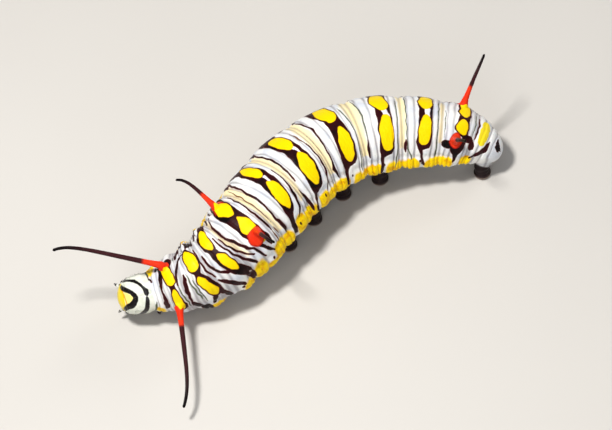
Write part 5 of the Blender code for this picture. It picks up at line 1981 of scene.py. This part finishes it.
def build_hooks(material):
    """Hooks in two lengths along the inner edge of each proleg's sole."""
    shapes = []
    for row in proleg_rows():
        place, angle, foot = row[1:4]
        inward = along(RIGHTWARD, place) * -np.sign(angle)
        heading = math.degrees(math.atan2(inward[1], inward[0]))
        for number in range(HOOK_COUNT):
            turn = math.radians(heading + HOOK_SPAN * (number / (HOOK_COUNT - 1) - 0.5))
            outward = np.array([math.cos(turn), math.sin(turn), 0.0])
            root = np.array([foot[0], foot[1], HOOK_HEIGHT]) + outward * (HOOK_RING - HOOK_INSET)
            shapes.append(hook_shape(root, outward, HOOK_LENGTH * (1.0 if number % 2 else HOOK_SHORT)))
    hooks = add_object("foot_hooks", *merged(shapes), material)
    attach(hooks, "root")


# Hairs: where they grow, how many, places in millimetres, angles from the mid-back, lengths
HAIRS = (
    ("head", 90, (0.35, 2.6), (8, 150), (0.10, 0.24)),
    ("body", 150, (3.4, 38.0), (10, 80), (0.05, 0.10)),
    ("body", 420, (3.4, 38.0), (88, 150), (0.08, 0.20)),
)
HAIR_RADIUS = 0.009 * MM
HAIR_THIN = 0.85
HAIR_LEAN = (-0.2, 0.5)
HAIR_ROWS = 5
HAIR_SIDES = 5
HAIR_SUNK = 0.02 * MM
HAIR_SEED = 71


def build_hairs(material):
    """Short fine hairs, few on the back and more on the head and low on the flanks."""
    rng = np.random.default_rng(HAIR_SEED)
    shapes = []
    t = np.linspace(0, 1, HAIR_ROWS)
    radii = HAIR_RADIUS * (1 - HAIR_THIN * t)
    for part, count, places, turns, lengths in HAIRS:
        for _ in range(count):
            place = np.array(rng.uniform(*places) * MM)
            angle = np.array(rng.uniform(*turns) * rng.choice((-1, 1)))
            out = out_direction(place, angle)
            lean = out - along(TAILWARD, place) * rng.uniform(*HAIR_LEAN)
            lean /= np.linalg.norm(lean)
            root = (head_point if part == "head" else skin_point)(place, angle, -HAIR_SUNK)
            centres = root + lean * (t * (rng.uniform(*lengths) * MM))[:, None]
            shapes.append(tube_shape(centres, lean, radii, along(TAILWARD, place), HAIR_SIDES))
    hairs = add_object("fine_hairs", *merged(shapes), material)
    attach(hairs, "root")


HEAD_WHITE = (238, 240, 226)
HEAD_COOL = (212, 218, 200)
HEAD_YELLOW = (242, 214, 14)
HEAD_OCHRE = (214, 160, 20)
FACE_CREAM = (250, 232, 130)
LEG_PALE = (214, 206, 196)
LIP_YELLOW = (228, 204, 110)
LIP_GREY = (206, 200, 176)
JAW_BROWN = (38, 18, 12)
EYE_BLACK = (10, 9, 10)
HOOK_BROWN = (92, 56, 26)
HOOK_DARK = (36, 20, 12)
HAIR_BROWN = (110, 88, 70)
SHELL_GLOSS = {"Coat Weight": 0.12, "Specular IOR Level": 0.25, "Coat Roughness": 0.15}
SHELL_PEBBLES = (0.06, 0.006, 0.2, 3.0, 0.008)
EYE_GLOSS = {"Coat Weight": 0.6, "Coat Roughness": 0.05}
HEAD_SOFT = (0.04, 0.15 * MM)


# Noise in the shells: size, or size and detail; for an edge also how far it moves it, in millimetres
HEAD_NOISE = 0.8 * MM
HEAD_WOBBLE = (0.2 * MM, 3.0, 0.04)
MOUTH_NOISE = 0.35 * MM
MOUTH_WOBBLE = (0.15 * MM, 2.0, 0.06)
FEELER_NOISE = 0.2 * MM
FEELER_WOBBLE = (0.1 * MM, 2.0, 0.05)
LEG_NOISE = (0.3 * MM, 3.0)
LEG_WOBBLE = (0.15 * MM, 2.0, 0.05)
HOOK_NOISE = 0.1 * MM
HAIR_NOISE = 0.5 * MM
EYE_NOISE = 0.08 * MM
# Levels of the noise in the painted shade under the head
HEAD_SHADE_LEVELS = (0.4, 0.6)
YELLOW_LEVELS = (0.45, 0.7)
EYE_LEVELS = (0.3, 0.7)
HEAD_LIMITS = {"spot": (0.03, 0.0), "fine": (0.03, 0.0), "dark": (0.03, -0.04)}
MOUTH_LIMITS = (0.06, 0.0)
FEELER_LIMITS = (0.02, 0.0)
JOINT_LIMITS = (0.03, 0.0)


def shell_base(name):
    """A hard glossy shell: fine pebbles, and a light clear layer over it."""
    paint = Paint(name)
    paint.settings(SHELL_GLOSS)
    paint.grain(*SHELL_PEBBLES)
    return paint


def noise_wobble(paint, size, detail, reach):
    """An uneven shift of a mark's edge, from noise of its own."""
    return paint.wobble(paint.noise(size, detail), reach)


def head_material():
    """White head with cream, a yellow plate, painted grey shade under it and black arcs."""
    paint = shell_base("larva_head")
    wobble = noise_wobble(paint, *HEAD_WOBBLE)
    broad = paint.noise(HEAD_NOISE)
    colour = paint.tone(broad, WHITE_LEVELS, HEAD_WHITE, HEAD_COOL)
    colour = paint.mix(paint.field("cream"), colour, FACE_CREAM)
    # Painted shade under the head
    under = paint.tone(broad, HEAD_SHADE_LEVELS, SHADE_AND_FEELER_GREY, UNDERSIDE_SHADE_DARK)
    colour = paint.mix(paint.field("belly"), colour, under)
    yellow = paint.tone(broad, YELLOW_LEVELS, HEAD_YELLOW, HEAD_OCHRE)
    for name, over in (("spot", yellow), ("fine", ORANGE), ("dark", NEAR_BLACK)):
        colour = paint.cover(name, wobble, HEAD_LIMITS[name], colour, over)
    paint.soft(*HEAD_SOFT)
    return paint.finished(colour)


def mouth_material():
    """Pale lips and feelers, dark jaws."""
    paint = shell_base("larva_mouth")
    wobble = noise_wobble(paint, *MOUTH_WOBBLE)
    pale = paint.tone(paint.noise(MOUTH_NOISE), DARK_LEVELS, LIP_YELLOW, LIP_GREY)
    return paint.finished(paint.cover("dark", wobble, MOUTH_LIMITS, pale, JAW_BROWN))


def feeler_material():
    """Pale antennae with dark joints."""
    paint = shell_base("larva_feeler")
    wobble = noise_wobble(paint, *FEELER_WOBBLE)
    pale = paint.mix(paint.noise(FEELER_NOISE), HEAD_WHITE, SHADE_AND_FEELER_GREY)
    return paint.finished(paint.cover("dark", wobble, FEELER_LIMITS, pale, NEAR_BLACK))


def leg_material():
    """Black legs with pale rings at the joints."""
    paint = shell_base("larva_leg")
    wobble = noise_wobble(paint, *LEG_WOBBLE)
    shell = paint.mix(paint.noise(*LEG_NOISE), NEAR_BLACK, TENTACLE_DARK)
    return paint.finished(paint.cover("joint", wobble, JOINT_LIMITS, shell, LEG_PALE))


def hook_material():
    """Brown hooks."""
    paint = shell_base("larva_hooks")
    return paint.finished(paint.mix(paint.noise(HOOK_NOISE), HOOK_BROWN, HOOK_DARK))


def hair_material():
    """Brown hairs."""
    paint = Paint("larva_hair")
    return paint.finished(paint.mix(paint.noise(HAIR_NOISE), HAIR_BROWN, HOOK_DARK))


def eye_material():
    """Glossy black eyes."""
    paint = Paint("larva_eye")
    paint.settings(EYE_GLOSS)
    return paint.finished(paint.tone(paint.noise(EYE_NOISE), EYE_LEVELS, EYE_BLACK, TENTACLE_DARK))


def camera_axes():
    """The camera's directions in the scene: forward, right and up."""
    tilt = math.radians(ELEVATION)
    roll = math.radians(ROLL)
    forward = np.array([0.0, math.cos(tilt), -math.sin(tilt)])
    level = np.array([1.0, 0.0, 0.0])
    rise = np.array([0.0, math.sin(tilt), math.cos(tilt)])
    right = math.cos(roll) * level + math.sin(roll) * rise
    up = math.cos(roll) * rise - math.sin(roll) * level
    return forward, right, up


def build_camera():
    """The camera of the photo's viewpoint, aimed so that one place of the back lies on its pixel."""
    forward, right, up = camera_axes()
    pixels = PIXELS_PER_MM * DISTANCE / MM
    across = (ANCHOR_PIXEL[0] - IMAGE[0] / 2) / pixels
    down = (ANCHOR_PIXEL[1] - IMAGE[1] / 2) / pixels
    anchor = along(AXIS, np.array(ANCHOR_PLACE))
    eye = anchor - DISTANCE * (forward + right * across - up * down)
    data = bpy.data.cameras.new("camera")
    data.sensor_width = SENSOR
    data.lens = pixels / IMAGE[0] * SENSOR
    data.clip_start, data.clip_end = CLIP
    camera = bpy.data.objects.new("camera", data)
    turn = np.stack([right, up, -forward], axis=1)
    camera.matrix_world = Matrix.Translation(Vector(eye)) @ Matrix(turn.tolist()).to_4x4()
    bpy.context.scene.collection.objects.link(camera)
    bpy.context.scene.camera = camera


# Lights: name, place in the larva's lengths, size in lengths, power and colour
LIGHTS = (
    ("key", (-1.2, -0.5, 4.8), 0.8, 6.5, (1.0, 0.985, 0.96)),
    ("fill", (-1.0, -4.5, 3.0), 3.0, 1.7, (0.96, 0.98, 1.0)),
    ("rim", (4.5, 3.0, 3.0), 2.0, 1.4, (1.0, 0.99, 0.97)),
)
LIGHT_TARGET = Vector((0.0, 0.0, 0.003))
LIGHT_POWER = 40
FLOOR_SIZE = 2.0
FLOOR_NOISE = 0.05
FLOOR_LEVELS = (0.3, 0.7)
FLOOR = (205, 201, 195)
FLOOR_LIGHTER = (209, 205, 199)
WORLD = (225, 228, 234)
WORLD_STRENGTH = 0.24


def build_lights():
    """Three soft lamps and a faint, nearly white sky."""
    for name, place, size, power, colour in LIGHTS:
        data = bpy.data.lights.new(name, "AREA")
        data.shape = "DISK"
        data.size = size * BODY_LENGTH
        data.energy = power * BODY_LENGTH ** 2 * LIGHT_POWER
        data.color = colour
        light = bpy.data.objects.new(name, data)
        light.location = Vector(place) * BODY_LENGTH
        light.rotation_euler = (LIGHT_TARGET - light.location).to_track_quat("-Z", "Y").to_euler()
        bpy.context.scene.collection.objects.link(light)
    world = bpy.data.worlds.new("studio")
    world.use_nodes = True
    background = world.node_tree.nodes["Background"]
    background.inputs["Color"].default_value = linear(WORLD)
    background.inputs["Strength"].default_value = WORLD_STRENGTH
    bpy.context.scene.world = world


def build_floor():
    """A plain pale floor that belongs to the studio, not to the part."""
    half = FLOOR_SIZE / 2
    corners = [(-half, -half, 0.0), (half, -half, 0.0), (half, half, 0.0), (-half, half, 0.0)]
    paint = Paint("studio_floor")
    tone = paint.tone(paint.noise(FLOOR_NOISE), FLOOR_LEVELS, FLOOR, FLOOR_LIGHTER)
    floor = add_object("floor", corners, [[(0, 1, 2, 3)]], paint.finished(tone))


build_camera()
build_lights()
build_floor()
build_skin(skin_material())
build_head(head_material())
build_eyes(eye_material())
build_mouth(mouth_material())
build_antennae(feeler_material())
build_legs(leg_material())
build_hooks(hook_material())
build_hairs(hair_material())

bpy.context.scene.view_settings.view_transform = "Standard"
